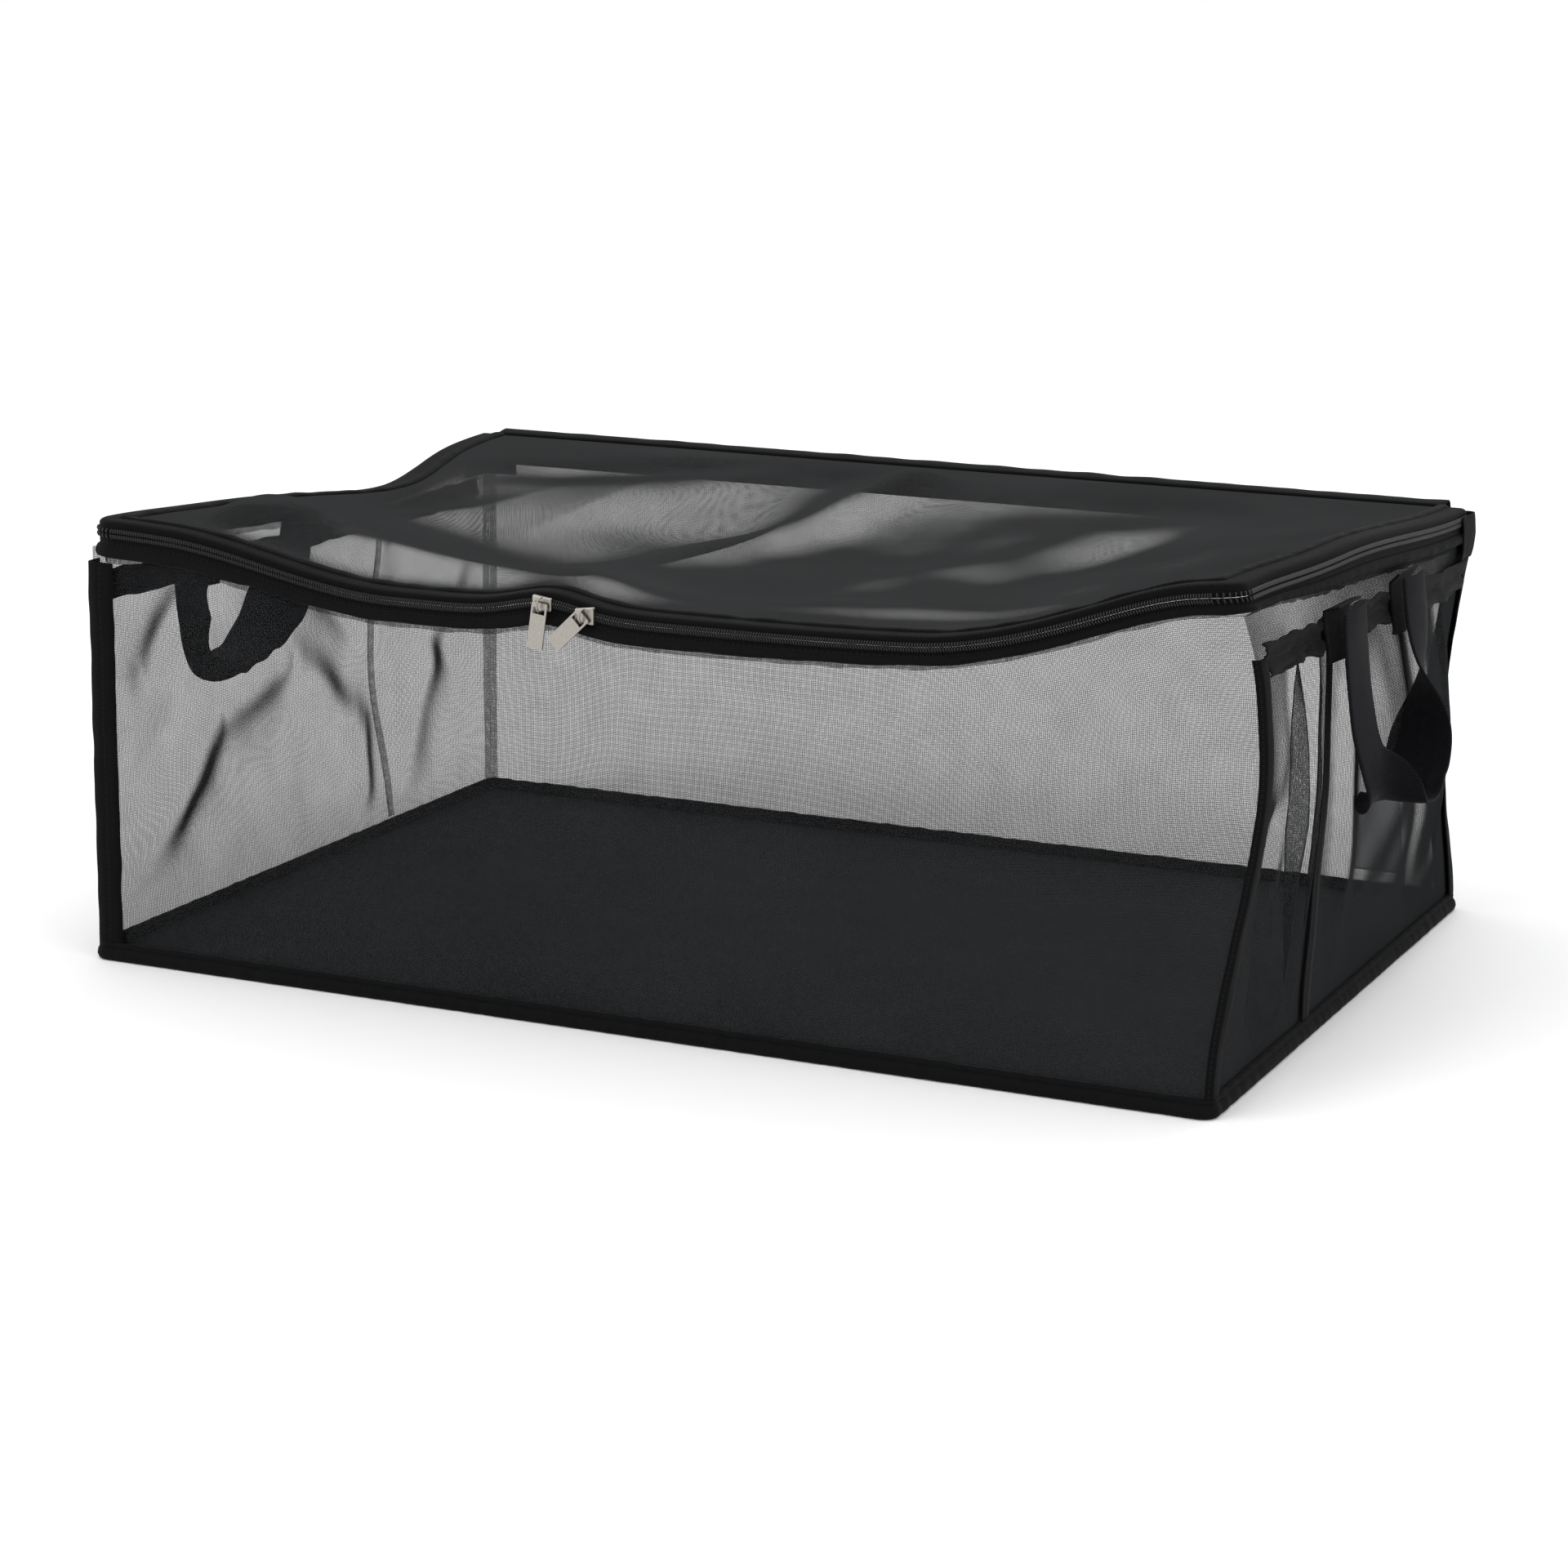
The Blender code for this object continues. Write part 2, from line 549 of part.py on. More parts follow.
def slider(hinge, name, tab_name, x, slant):
    """A zip slider on the front edge, its bridge, and the flat tab that hangs from the bridge."""
    seat = front_point(x, ZIP_TAPE_TOP + GAP + COIL_TALL, RIM_INSET)
    face = seat.y - 0.0010 - 0.0006
    axis = joint_empty(f"{name}_axis", seat, hinge)

    low = (x - SLIDER_WIDE / 2, face - SLIDER_DEEP, seat.z - SLIDER_TALL / 2)
    high = (x + SLIDER_WIDE / 2, face, seat.z + SLIDER_TALL / 2)
    block = box_solid(low, high)
    for vertex in block.verts:
        if vertex.co.x > x and name == "left_slider" or vertex.co.x < x and name == "right_slider":
            vertex.co.z = seat.z + (vertex.co.z - seat.z) * 0.72
    body = piece(f"{name}_body", mesh_from(block, name), SILVER_METAL, axis)
    bevel = body.modifiers.new("edges", "BEVEL")
    bevel.width = 0.0007
    bevel.segments = 2

    front = face - SLIDER_DEEP - 0.0004
    tab_y = front - BRIDGE_STANDS
    arch = bpy.data.curves.new(f"{name}_bridge", "CURVE")
    arch.dimensions = "3D"
    arch.bevel_depth = BRIDGE_WIRE
    arch.bevel_resolution = 2
    arch.use_fill_caps = True
    swings = [math.pi * i / 8 for i in range(9)]
    bow = [(tab_y - BRIDGE_RADIUS * math.sin(a), seat.z + BRIDGE_RADIUS * math.cos(a)) for a in swings]
    bow = [(front, bow[0][1])] + bow + [(front, bow[-1][1])]
    spline = arch.splines.new("POLY")
    spline.points.add(len(bow) - 1)
    for target, (y, z) in zip(spline.points, bow):
        target.co = (*(Vector((x, y, z)) - world_place(axis)), 1.0)
    arch.materials.append(finish(f"{name}_bridge_metal", *SILVER_METAL[1:]))
    bridge = bpy.data.objects.new(f"{name}_bridge", arch)
    parts.objects.link(bridge)
    bridge.parent = axis
    weld = bridge.modifiers.new("weld", "WELD")
    weld.merge_threshold = 0.00001

    pivot = joint_empty(f"{tab_name}_axis", (x, tab_y, seat.z), axis)
    outline = bpy.data.curves.new(tab_name, "CURVE")
    outline.dimensions = "2D"
    outline.fill_mode = "BOTH"
    outline.extrude = TAB_THICK / 2
    across, head, foot = TAB_WIDE / 2 - TAB_CORNER, TAB_HEAD - TAB_CORNER, TAB_CORNER - TAB_LONG
    centres = ((across, head), (-across, head), (-across, foot), (across, foot))
    sides = []
    for quarter, centre in enumerate(centres):
        for i in range(4):
            angle = math.pi / 2 * (quarter + i / 3)
            sides.append(Vector(centre) + TAB_CORNER * Vector((math.cos(angle), math.sin(angle))))
    wide, top, bottom = EYE_HALF_WIDE, EYE_TOP, EYE_BOTTOM
    eye = [Vector(c) for c in ((-wide, bottom), (-wide, top), (wide, top), (wide, bottom))]
    for ring in (sides, eye):
        spline = outline.splines.new("POLY")
        spline.points.add(len(ring) - 1)
        for target, point in zip(spline.points, ring):
            target.co = (point.x, point.y, 0.0, 1.0)
        spline.use_cyclic_u = True
    outline.materials.append(finish(f"{tab_name}_metal", *SILVER_METAL[1:]))
    tab = bpy.data.objects.new(tab_name, outline)
    tab.rotation_euler = (math.radians(90.0), math.radians(slant), 0.0)
    parts.objects.link(tab)
    tab.parent = pivot
    weld = tab.modifiers.new("weld", "WELD")
    weld.merge_threshold = 0.00001


bottom_panel()
base_binding()
walls()
corner_tapes()
end_wall_tapes()
care_label()
body_rim()
zip_end_tabs()
lid_axis = joint_empty("lid_axis", (0.0, HINGE_Y, HINGE_Z))
lid(lid_axis)
handle(-1, "left", -0.105, 0.010, 0.080, 0.026)
handle(1, "right", -0.062, 0.062, 0.110, 0.026)
for slider_name, pull_name, slider_x, hang in SLIDERS:
    slider(lid_axis, slider_name, pull_name, slider_x, hang)
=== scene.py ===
"""Looks for the under-bed storage bag: net walls and lid, sewn tapes, coil zip and handles.

The sewn pieces are laid out on a plain box and carried to the slumped bag by slouch(). The CAD
follows the same rule, but without the pull on the left rim. Here it is applied at a finer step,
with creases and ripples added. Lengths are in metres, +Z is up.
"""

import math

import bmesh
import bpy
from mathutils import Matrix, Vector, noise


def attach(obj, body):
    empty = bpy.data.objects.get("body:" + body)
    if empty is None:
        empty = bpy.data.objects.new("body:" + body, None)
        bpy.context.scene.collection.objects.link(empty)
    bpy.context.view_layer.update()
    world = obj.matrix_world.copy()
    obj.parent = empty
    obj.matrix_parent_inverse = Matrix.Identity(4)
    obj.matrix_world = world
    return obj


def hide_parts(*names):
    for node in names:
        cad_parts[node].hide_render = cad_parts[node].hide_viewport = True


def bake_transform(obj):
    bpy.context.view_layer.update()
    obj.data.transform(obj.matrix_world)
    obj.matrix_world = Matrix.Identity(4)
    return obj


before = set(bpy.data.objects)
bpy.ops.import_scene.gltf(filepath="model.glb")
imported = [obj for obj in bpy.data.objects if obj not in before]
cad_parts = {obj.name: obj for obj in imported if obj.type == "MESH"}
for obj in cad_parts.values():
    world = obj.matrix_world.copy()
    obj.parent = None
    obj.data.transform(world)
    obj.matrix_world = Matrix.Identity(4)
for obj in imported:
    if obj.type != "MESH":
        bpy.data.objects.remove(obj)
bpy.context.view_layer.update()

# The plain box and the levels of its rim.
WIDTH = 0.650
DEPTH = 0.450
HEIGHT = 0.240
HALF_W = WIDTH / 2
HALF_D = DEPTH / 2
BASE_TOP = 0.0110
BASE_CORNER = 0.0060
WALL_TOP = 0.2185
BINDING_TOP = 0.2240
COIL_MIDDLE = 0.2339
LID_LEVEL = HEIGHT
RIM_INSET = 0.0010
RIM_CORNER = 0.0160
WALL_INSET = 0.0021
TAPE_WIDTH = 0.0120
LID_INSET = 0.0185
HINGE_Y = HALF_D + 0.0015
HINGE_Z = 0.2375
LID_BACK_Y = HINGE_Y - 0.0025
LEFT_SEAM_Y = 0.0980
RIGHT_SEAM_Y = -0.0700
BAND_LOW = 0.1950
BAND_HIGH = 0.2110
SEAM_HALF = 0.0060
SIDES = ((-1, "left"), (1, "right"))

# How the soft bag strays from the box, as in the CAD.
FRONT_SAG = 0.0165
SAG_REACH = 0.3000
SAG_FROM_X = -0.2750
SAG_TO_X = 0.3000
SAG_EASES_OVER = 0.1400
SLIDER_LIFT = 0.0075
SLIDER_LIFT_X = -0.0435
SLIDER_LIFT_REACH = 0.0280
CORNER_LEAN = 0.0760
CORNER_LEAN_FULL = 0.66
CORNER_LEAN_RETURN = 0.2200
CORNER_RETURN_FROM = 0.78
CORNER_RETURN_OVER = 0.22
CORNER_TUCK = 0.0140
CORNER_REACH = 0.1300
RIGHT_RISE = 0.0150
RIGHT_RISE_REACH = 0.0750
RIGHT_RISE_OVER = 0.26
LEFT_RISE = 0.0070
LEFT_RISE_REACH = 0.0900
LID_SAG = 0.0180
RIM_POWER = 8
LEFT_BELLY = 0.0150
RIGHT_BELLY = 0.0160
BACK_BELLY = 0.0100
FRONT_BELLY = 0.0040
BELLY_REACH = 0.0800
BELLY_TOP = 0.92
BELLY_POWER = 1.3
BELLY_SKEW = 1.5
RIGHT_BELLY_POWER = 0.7
RIGHT_BELLY_FROM_Y = -0.10
RIGHT_BELLY_OVER = 0.20
BACK_CORNER_TUCK = 0.0120
BACK_CORNER_REACH = 0.0600

# The rest is in the looks only. The slack lid pulls the middle of the left rim inward and down.
LEFT_PULL = 0.0240
LEFT_PULL_Y = 0.0450
LEFT_PULL_REACH = 0.0900
LEFT_PULL_DROP = 0.4
# How much of the rim's height shows below the teeth, and how much less at the front right corner.
RIM_SHOWS = 0.70
RIM_ROLLS_UNDER = 0.30
RIM_ROLL_REACH = 0.1600


def clamp(t):
    return min(max(t, 0.0), 1.0)


def ease(t):
    t = clamp(t)
    return t * t * (3.0 - 2.0 * t)


def bell(distance, reach):
    return math.exp(-((distance / reach) ** 2))


def slouch(x, y, z):
    """Where a point of the plain box stands on the soft bag."""
    h = clamp((z - BASE_TOP) / (HEIGHT - BASE_TOP))
    belly = max(math.sin(math.pi * min(h / BELLY_TOP, 1.0)), 0.0) ** BELLY_POWER
    along = math.sin(math.pi * clamp((y + HALF_D) / DEPTH) ** BELLY_SKEW)
    across = math.sin(math.pi * clamp((x + HALF_W) / WIDTH))
    from_front = y + HALF_D
    from_right = HALF_W - x

    sag = FRONT_SAG * ease((x - SAG_FROM_X) / SAG_EASES_OVER)
    sag *= ease((SAG_TO_X - x) / SAG_EASES_OVER)
    sag -= SLIDER_LIFT * bell(x - SLIDER_LIFT_X, SLIDER_LIFT_REACH)
    sag *= ease(1.0 - from_front / SAG_REACH) * h**2
    sag += LID_SAG * (across * along) ** 2 * h**RIM_POWER

    corner = bell(math.hypot(from_right, from_front), CORNER_REACH)
    back = CORNER_LEAN_RETURN * ease((h - CORNER_RETURN_FROM) / CORNER_RETURN_OVER)
    lean = CORNER_LEAN * corner * (ease(h / CORNER_LEAN_FULL) - back)
    tuck = CORNER_TUCK * corner * h**4
    rise = RIGHT_RISE * bell(from_right, RIGHT_RISE_REACH) * ease((HALF_D - y) / RIGHT_RISE_OVER)
    rise += LEFT_RISE * bell(math.hypot(HALF_W + x, from_front), LEFT_RISE_REACH)

    back_corner = bell(math.hypot(from_right, HALF_D - y), BACK_CORNER_REACH)
    dx = -tuck - BACK_CORNER_TUCK * back_corner * belly
    dx -= LEFT_BELLY * bell(x + HALF_W, BELLY_REACH) * belly * along
    right_belly = RIGHT_BELLY * bell(from_right, BELLY_REACH) * belly * along**RIGHT_BELLY_POWER
    dx += right_belly * ease((y - RIGHT_BELLY_FROM_Y) / RIGHT_BELLY_OVER)
    dy = lean + BACK_BELLY * bell(HALF_D - y, BELLY_REACH) * belly * across
    dy -= FRONT_BELLY * bell(from_front, BELLY_REACH) * belly * across
    dz = rise * h**2 - sag

    pull = LEFT_PULL * bell(x + HALF_W, LEFT_PULL_REACH)
    pull = pull * bell(y - LEFT_PULL_Y, LEFT_PULL_REACH) * h**RIM_POWER
    dx += pull
    dz -= LEFT_PULL_DROP * pull
    return Vector((x + dx, y + dy, z + dz))


def ridges(u, v, folds):
    """Sum of soft folds, each (u, v of one end, u, v of the other, half width, height)."""
    total = 0.0
    for u0, v0, u1, v1, wide, tall in folds:
        du, dv = u1 - u0, v1 - v0
        t = clamp(((u - u0) * du + (v - v0) * dv) / (du * du + dv * dv))
        away = math.hypot(u - u0 - t * du, v - v0 - t * dv)
        total += tall * bell(away, wide) * (0.35 + 0.65 * math.sin(math.pi * t))
    return total


def ripple(u, v, scale, seed):
    """Smooth unevenness between -1 and 1, one bump every scale metres or so."""
    return noise.noise(Vector((u / scale, v / scale, seed)))


def steps(low, high, step):
    count = max(1, round(abs(high - low) / step))
    return [low + (high - low) * i / count for i in range(count + 1)]


# Materials.
class Look:
    """A material under construction, with short calls for its nodes."""

    def __init__(self, name):
        self.material = bpy.data.materials.new(name)
        self.material.use_nodes = True
        self.tree = self.material.node_tree
        self.shader = self.tree.nodes["Principled BSDF"]

    def node(self, kind, **settings):
        made = self.tree.nodes.new(kind)
        for key, value in settings.items():
            setattr(made, key, value)
        return made

    def join(self, source, target):
        self.tree.links.new(source, target)

    def math(self, operation, *values):
        made = self.node("ShaderNodeMath", operation=operation)
        for socket, value in zip(made.inputs, values):
            if isinstance(value, (int, float)):
                socket.default_value = value
            else:
                self.join(value, socket)
        return made.outputs[0]

    def uv(self):
        """The cloth's own coordinates, in metres."""
        source = self.node("ShaderNodeUVMap", uv_map="cloth")
        split = self.node("ShaderNodeSeparateXYZ")
        self.join(source.outputs[0], split.inputs[0])
        return split.outputs[0], split.outputs[1]

    def noise(self, scale, detail=2.0):
        place = self.node("ShaderNodeTexCoord")
        made = self.node("ShaderNodeTexNoise")
        made.inputs["Scale"].default_value = scale
        made.inputs["Detail"].default_value = detail
        self.join(place.outputs["Object"], made.inputs["Vector"])
        return made.outputs["Fac"]

    def tint(self, factor, dark, light):
        """Base colour that runs from dark to light with factor."""
        blend = self.node("ShaderNodeMix", data_type="RGBA")
        blend.inputs["A"].default_value = (*dark, 1.0)
        blend.inputs["B"].default_value = (*light, 1.0)
        self.join(factor, blend.inputs["Factor"])
        self.join(blend.outputs["Result"], self.shader.inputs["Base Color"])

    def relief(self, height, depth):
        bump = self.node("ShaderNodeBump")
        bump.inputs["Distance"].default_value = depth
        bump.inputs["Strength"].default_value = 1.0
        self.join(height, bump.inputs["Height"])
        self.join(bump.outputs[0], self.shader.inputs["Normal"])

    def set(self, **values):
        for key, value in values.items():
            self.shader.inputs[key.replace("_", " ")].default_value = value

    def wave(self, coordinate, pitch):
        """0 to 1 and back once every pitch."""
        turns = self.math("MULTIPLY", coordinate, 2.0 * math.pi / pitch)
        return self.math("MULTIPLY_ADD", self.math("COSINE", turns), 0.5, 0.5)


# The net is shut when it is seen this close to edge on, and fully open when it faces by this much.
NET_SHUT = 0.20
NET_OPEN = 0.55
# How much the threads' loose hairs even out threads and holes.
NET_FUZZ = 0.45
# From one thread to the next, and how much closer they stand the other way.
NET_PITCH = 0.00095
DOUBLE_NET_PITCH = 0.00080
CROSS_PITCH = 0.92
THREAD_EDGE = 14.0
CLOTH_GLOSS = 0.015
STITCH_PITCH = 0.0030
STITCH_SHARE = 0.62
STITCH_HALF = 0.0005
HERRINGBONE_PITCH = 0.0095
HERRINGBONE_SLANT = 0.0120


def net_look(name, open_share, pitch, dark, light):
    """Sheer net of fine threads, which stand up from it, so that it closes as it turns away."""
    look = Look(name)
    u, v = look.uv()
    edge = look.node("ShaderNodeLayerWeight")
    edge.inputs["Blend"].default_value = 0.5
    toward = look.math("SUBTRACT", 1.0, edge.outputs["Facing"])
    opening = look.node("ShaderNodeMapRange", interpolation_type="SMOOTHSTEP")
    opening.inputs["From Min"].default_value = NET_SHUT
    opening.inputs["From Max"].default_value = NET_OPEN
    opening.inputs["To Max"].default_value = open_share
    look.join(toward, opening.inputs["Value"])
    gap = look.math("SQRT", opening.outputs["Result"])
    uneven = look.math("MULTIPLY_ADD", look.noise(60.0, 3.0), 0.10, 0.45)
    half_gap = look.math("MULTIPLY", gap, uneven)
    shut = []
    for way, size in ((u, pitch), (v, pitch * CROSS_PITCH)):
        turn = look.math("FRACT", look.math("DIVIDE", way, size))
        away = look.math("ABSOLUTE", look.math("SUBTRACT", turn, 0.5))
        over = look.math("SUBTRACT", away, half_gap)
        shut.append(look.math("MULTIPLY_ADD", over, THREAD_EDGE, 0.5))
    cover = look.math("MAXIMUM", shut[0], shut[1])
    limit = look.node("ShaderNodeClamp")
    look.join(cover, limit.inputs[0])
    fuzz = look.math("MULTIPLY", look.math("SUBTRACT", 1.0, opening.outputs["Result"]), NET_FUZZ)
    alpha = look.math("MULTIPLY_ADD", limit.outputs[0], 1.0 - NET_FUZZ, fuzz)
    look.join(alpha, look.shader.inputs["Alpha"])
    look.tint(look.noise(9.0, 3.0), dark, light)
    look.set(Roughness=0.70, Specular_IOR_Level=0.0)
    return look.material


def stitched(look, v, wide, height):
    """Adds a row of stitches along a tape, wide metres in from the tape's first edge."""
    u = look.uv()[0]
    away = look.math("ABSOLUTE", look.math("SUBTRACT", v, wide))
    row = look.math("LESS_THAN", away, STITCH_HALF)
    turn = look.math("FRACT", look.math("DIVIDE", u, STITCH_PITCH))
    mark = look.math("LESS_THAN", turn, STITCH_SHARE)
    return look.math("ADD", height, look.math("MULTIPLY", row, mark))


def tape_look(name, dark, light, rib, stitch_rows=()):
    """Ribbed woven tape, with rows of stitches along it."""
    look = Look(name)
    u, v = look.uv()
    weave = look.math("MULTIPLY", look.wave(u, rib), 0.5)
    weave = look.math("ADD", weave, look.math("MULTIPLY", look.wave(v, rib * 0.8), 0.3))
    height = look.math("ADD", weave, look.math("MULTIPLY", look.noise(240.0), 0.4))
    for wide in stitch_rows:
        height = stitched(look, v, wide, height)
    look.tint(look.math("MULTIPLY", height, 0.6), dark, light)
    look.relief(height, 0.00025)
    look.set(Roughness=0.68, Sheen_Weight=0.03, Sheen_Roughness=0.4,
             Specular_IOR_Level=CLOTH_GLOSS)
    return look.material


def webbing_look(name):
    """Herringbone webbing with a soft shine."""
    look = Look(name)
    u, v = look.uv()
    turn = look.math("FRACT", look.math("DIVIDE", v, HERRINGBONE_PITCH))
    zig = look.math("ABSOLUTE", look.math("SUBTRACT", turn, 0.5))
    slant = look.math("ADD", u, look.math("MULTIPLY", zig, HERRINGBONE_SLANT))
    weave = look.math("MULTIPLY", look.wave(slant, 0.0016), look.wave(v, 0.0008))
    height = look.math("ADD", weave, look.math("MULTIPLY", look.noise(300.0), 0.3))
    look.tint(height, (0.004, 0.004, 0.005), (0.014, 0.014, 0.017))
    look.relief(height, 0.00025)
    look.set(Roughness=0.60, Sheen_Weight=0.03, Sheen_Roughness=0.35,
             Specular_IOR_Level=CLOTH_GLOSS)
    return look.material


def twill_look(name):
    """Diagonal twill of the bottom panel."""
    look = Look(name)
    u, v = look.uv()
    slope = look.math("ADD", u, look.math("MULTIPLY", v, 0.8))
    ribs = look.wave(slope, 0.0011)
    cross = look.wave(look.math("SUBTRACT", v, look.math("MULTIPLY", u, 0.3)), 0.0007)
    height = look.math("MULTIPLY_ADD", cross, 0.35, ribs)
    wear = look.noise(11.0, 4.0)
    look.tint(look.math("MULTIPLY_ADD", height, 0.30, look.math("MULTIPLY", wear, 0.5)),
              (0.0090, 0.0108, 0.0126), (0.0270, 0.0320, 0.0370))
    look.relief(height, 0.00022)
    look.set(Roughness=0.66, Sheen_Weight=0.03, Sheen_Roughness=0.5,
             Specular_IOR_Level=CLOTH_GLOSS)
    return look.material


def nylon_look(name):
    """Glossy moulded coil teeth."""
    look = Look(name)
    cloud = look.noise(500.0)
    look.tint(cloud, (0.008, 0.008, 0.009), (0.020, 0.020, 0.022))
    look.relief(cloud, 0.00005)
    look.set(Roughness=0.42, Specular_IOR_Level=0.22)
    return look.material


def metal_look(name):
    """Die-cast metal, plated a warm silver and lightly rubbed."""
    look = Look(name)
    cloud = look.noise(700.0, 4.0)
    look.tint(cloud, (0.27, 0.255, 0.228), (0.44, 0.42, 0.38))
    look.relief(look.noise(1500.0, 3.0), 0.00003)
    rough = look.math("MULTIPLY_ADD", cloud, 0.25, 0.22)
    look.join(rough, look.shader.inputs["Roughness"])
    look.set(Metallic=1.0)
    return look.material


def label_look(name):
    """Satin label cloth."""
    look = Look(name)
    u, v = look.uv()
    weave = look.math("MULTIPLY", look.wave(u, 0.0004), look.wave(v, 0.0004))
    look.tint(weave, (0.52, 0.53, 0.55), (0.66, 0.67, 0.69))
    look.relief(weave, 0.00005)
    look.set(Roughness=0.48, Sheen_Weight=0.2)
    return look.material


NET = net_look("net", 0.525, NET_PITCH, (0.013, 0.0136, 0.0142), (0.025, 0.026, 0.027))
# The lid is the same net as the walls. Its lighter colour is painted sheen: the grey shine its
# threads show when seen close to edge on.
LID_NET_PAINTED_SHEEN = net_look("lid_net_painted_sheen", 0.400, NET_PITCH, (0.020, 0.0205, 0.021), (0.037, 0.038, 0.039))
NET_DOUBLE = net_look("net_double", 0.38, DOUBLE_NET_PITCH,
                      (0.010, 0.0105, 0.011), (0.017, 0.018, 0.019))
BINDING = tape_look("binding", (0.0035, 0.0036, 0.0038), (0.0110, 0.0112, 0.0118),
                    0.0009, (0.0022,))
CORNER_TAPE = tape_look("corner_tape", (0.0028, 0.0029, 0.0030), (0.0090, 0.0092, 0.0096),
                        0.0010, (0.0020, 0.0190))
SEAM_TAPE = tape_look("seam_tape", (0.0060, 0.0062, 0.0065), (0.0180, 0.0184, 0.0190),
                      0.0010, (0.0018, 0.0102))
ZIP_TAPE = tape_look("zip_tape", (0.0030, 0.0030, 0.0032), (0.0095, 0.0096, 0.0100),
                     0.0007, (0.0015, 0.0055))
WEBBING = webbing_look("webbing")
TWILL = twill_look("twill")
NYLON = nylon_look("nylon")
METAL = metal_look("metal")
LABEL = label_look("label")


# Building pieces.
def register(piece, body, nodes):
    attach(piece, body)
    if nodes:
        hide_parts(*nodes)
    return piece


def link(name, mesh, look):
    mesh.materials.append(look)
    mesh.polygons.foreach_set("use_smooth", [True] * len(mesh.polygons))
    piece = bpy.data.objects.new(name, mesh)
    bpy.context.scene.collection.objects.link(piece)
    return piece


def running(points):
    """Distance along the points, from the first to each."""
    out = [0.0]
    for a, b in zip(points, points[1:]):
        out.append(out[-1] + (b - a).length)
    return out


def cloth(name, rows, look, thick=0.0, ring=False, turn=False):
    """A sheet through rows of points, with true-scale coordinates for its weave.

    ring joins the last row to the first, and turn lays the weave across the rows.
    """
    if ring:
        rows = rows + [rows[0]]
    count, width = len(rows), len(rows[0])
    u = running([row[width // 2] for row in rows])
    v = running(rows[count // 2])
    faces = []
    coords = []
    last = count - 1 if ring else count
    for i in range(count - 1):
        for j in range(width - 1):
            k = (i + 1) % last if ring else i + 1
            faces.append((i * width + j, k * width + j, k * width + j + 1, i * width + j + 1))
            for a, b in ((i, j), (i + 1, j), (i + 1, j + 1), (i, j + 1)):
                coords += [v[b], u[a]] if turn else [u[a], v[b]]
    mesh = bpy.data.meshes.new(name)
    mesh.from_pydata([p for row in rows[:last] for p in row], [], faces)
    mesh.uv_layers.new(name="cloth").data.foreach_set("uv", coords)
    piece = link(name, mesh, look)
    if thick:
        shell = piece.modifiers.new("thickness", "SOLIDIFY")
        shell.thickness = thick
        shell.offset = 0.0
    return piece


# Walls. A crease is (place along, height) of both ends, half width and how far it stands out.
NET_LOW = 0.0040
NET_TOP = WALL_TOP + 0.0075
BACK_NET_TOP = 0.2262
NET_STEP = 0.0035
END_NET_STEP = 0.0030
FRONT_CREASES = (
    (-0.28, 0.03, -0.20, 0.21, 0.020, 0.0025),
    (0.02, 0.19, 0.16, 0.20, 0.012, 0.0020),
    (0.16, 0.12, 0.28, 0.20, 0.016, -0.0040),
)
BACK_CREASES = (
    (-0.25, 0.02, -0.18, 0.20, 0.018, 0.0030),
    (0.05, 0.18, 0.22, 0.20, 0.014, 0.0020),
)
LEFT_CREASES = (
    (-0.190, 0.045, -0.095, 0.115, 0.019, -0.0095),
    (-0.095, 0.115, -0.010, 0.130, 0.017, -0.0085),
    (-0.010, 0.130, 0.070, 0.075, 0.017, -0.0095),
    (0.070, 0.075, 0.060, 0.020, 0.012, -0.0050),
    (0.020, 0.185, 0.085, 0.130, 0.015, 0.0070),
    (0.110, 0.040, 0.190, 0.170, 0.020, -0.0085),
    (-0.170, 0.150, -0.110, 0.195, 0.017, 0.0065),
    (0.120, 0.150, 0.200, 0.090, 0.015, 0.0065),
    (-0.030, 0.198, 0.130, 0.198, 0.018, 0.0130),
)
RIGHT_CREASES = (
    (-0.150, 0.190, -0.120, 0.030, 0.009, 0.0080),
    (-0.125, 0.195, -0.100, 0.050, 0.008, -0.0080),
    (-0.095, 0.200, -0.092, 0.020, 0.007, 0.0060),
    (-0.030, 0.190, -0.020, 0.020, 0.012, 0.0050),
    (0.080, 0.190, 0.110, 0.030, 0.014, -0.0050),
    (0.150, 0.200, 0.170, 0.040, 0.010, 0.0045),
    (-0.185, 0.120, -0.150, 0.020, 0.010, -0.0070),
)


def free(z, low=0.012, high=0.215, over=0.030):
    """1 in the open cloth, 0 where it is sewn at its top and bottom."""
    return ease((z - low) / over) * ease((high - z) / over)


def front_point(x, z, inset=WALL_INSET):
    push = ridges(x, z, FRONT_CREASES) + 0.0012 * ripple(x, z, 0.05, 1.0)
    return slouch(x, -HALF_D + inset, z) + Vector((0.0, -push * free(z), 0.0))


def back_point(x, z, inset=WALL_INSET):
    push = ridges(x, z, BACK_CREASES) + 0.0015 * ripple(x, z, 0.06, 2.0)
    return slouch(x, HALF_D - inset, z) + Vector((0.0, push * free(z), 0.0))


def side_push(side, y, z):
    folds = RIGHT_CREASES if side > 0 else LEFT_CREASES
    seam = RIGHT_SEAM_Y if side > 0 else LEFT_SEAM_Y
    edge = ease((HALF_D - abs(y)) / 0.020) * (1.0 - 0.6 * bell(y - seam, 0.012))
    small = 0.0018 if side > 0 else 0.0012
    loose = free(z, high=WALL_TOP, over=0.022)
    return (ridges(y, z, folds) + small * ripple(y, z, 0.035, 3.0)) * loose * edge


def side_point(side, y, z, inset=WALL_INSET):
    push = Vector((side * side_push(side, y, z), 0.0, 0.0))
    return slouch(side * (HALF_W - inset), y, z) + push


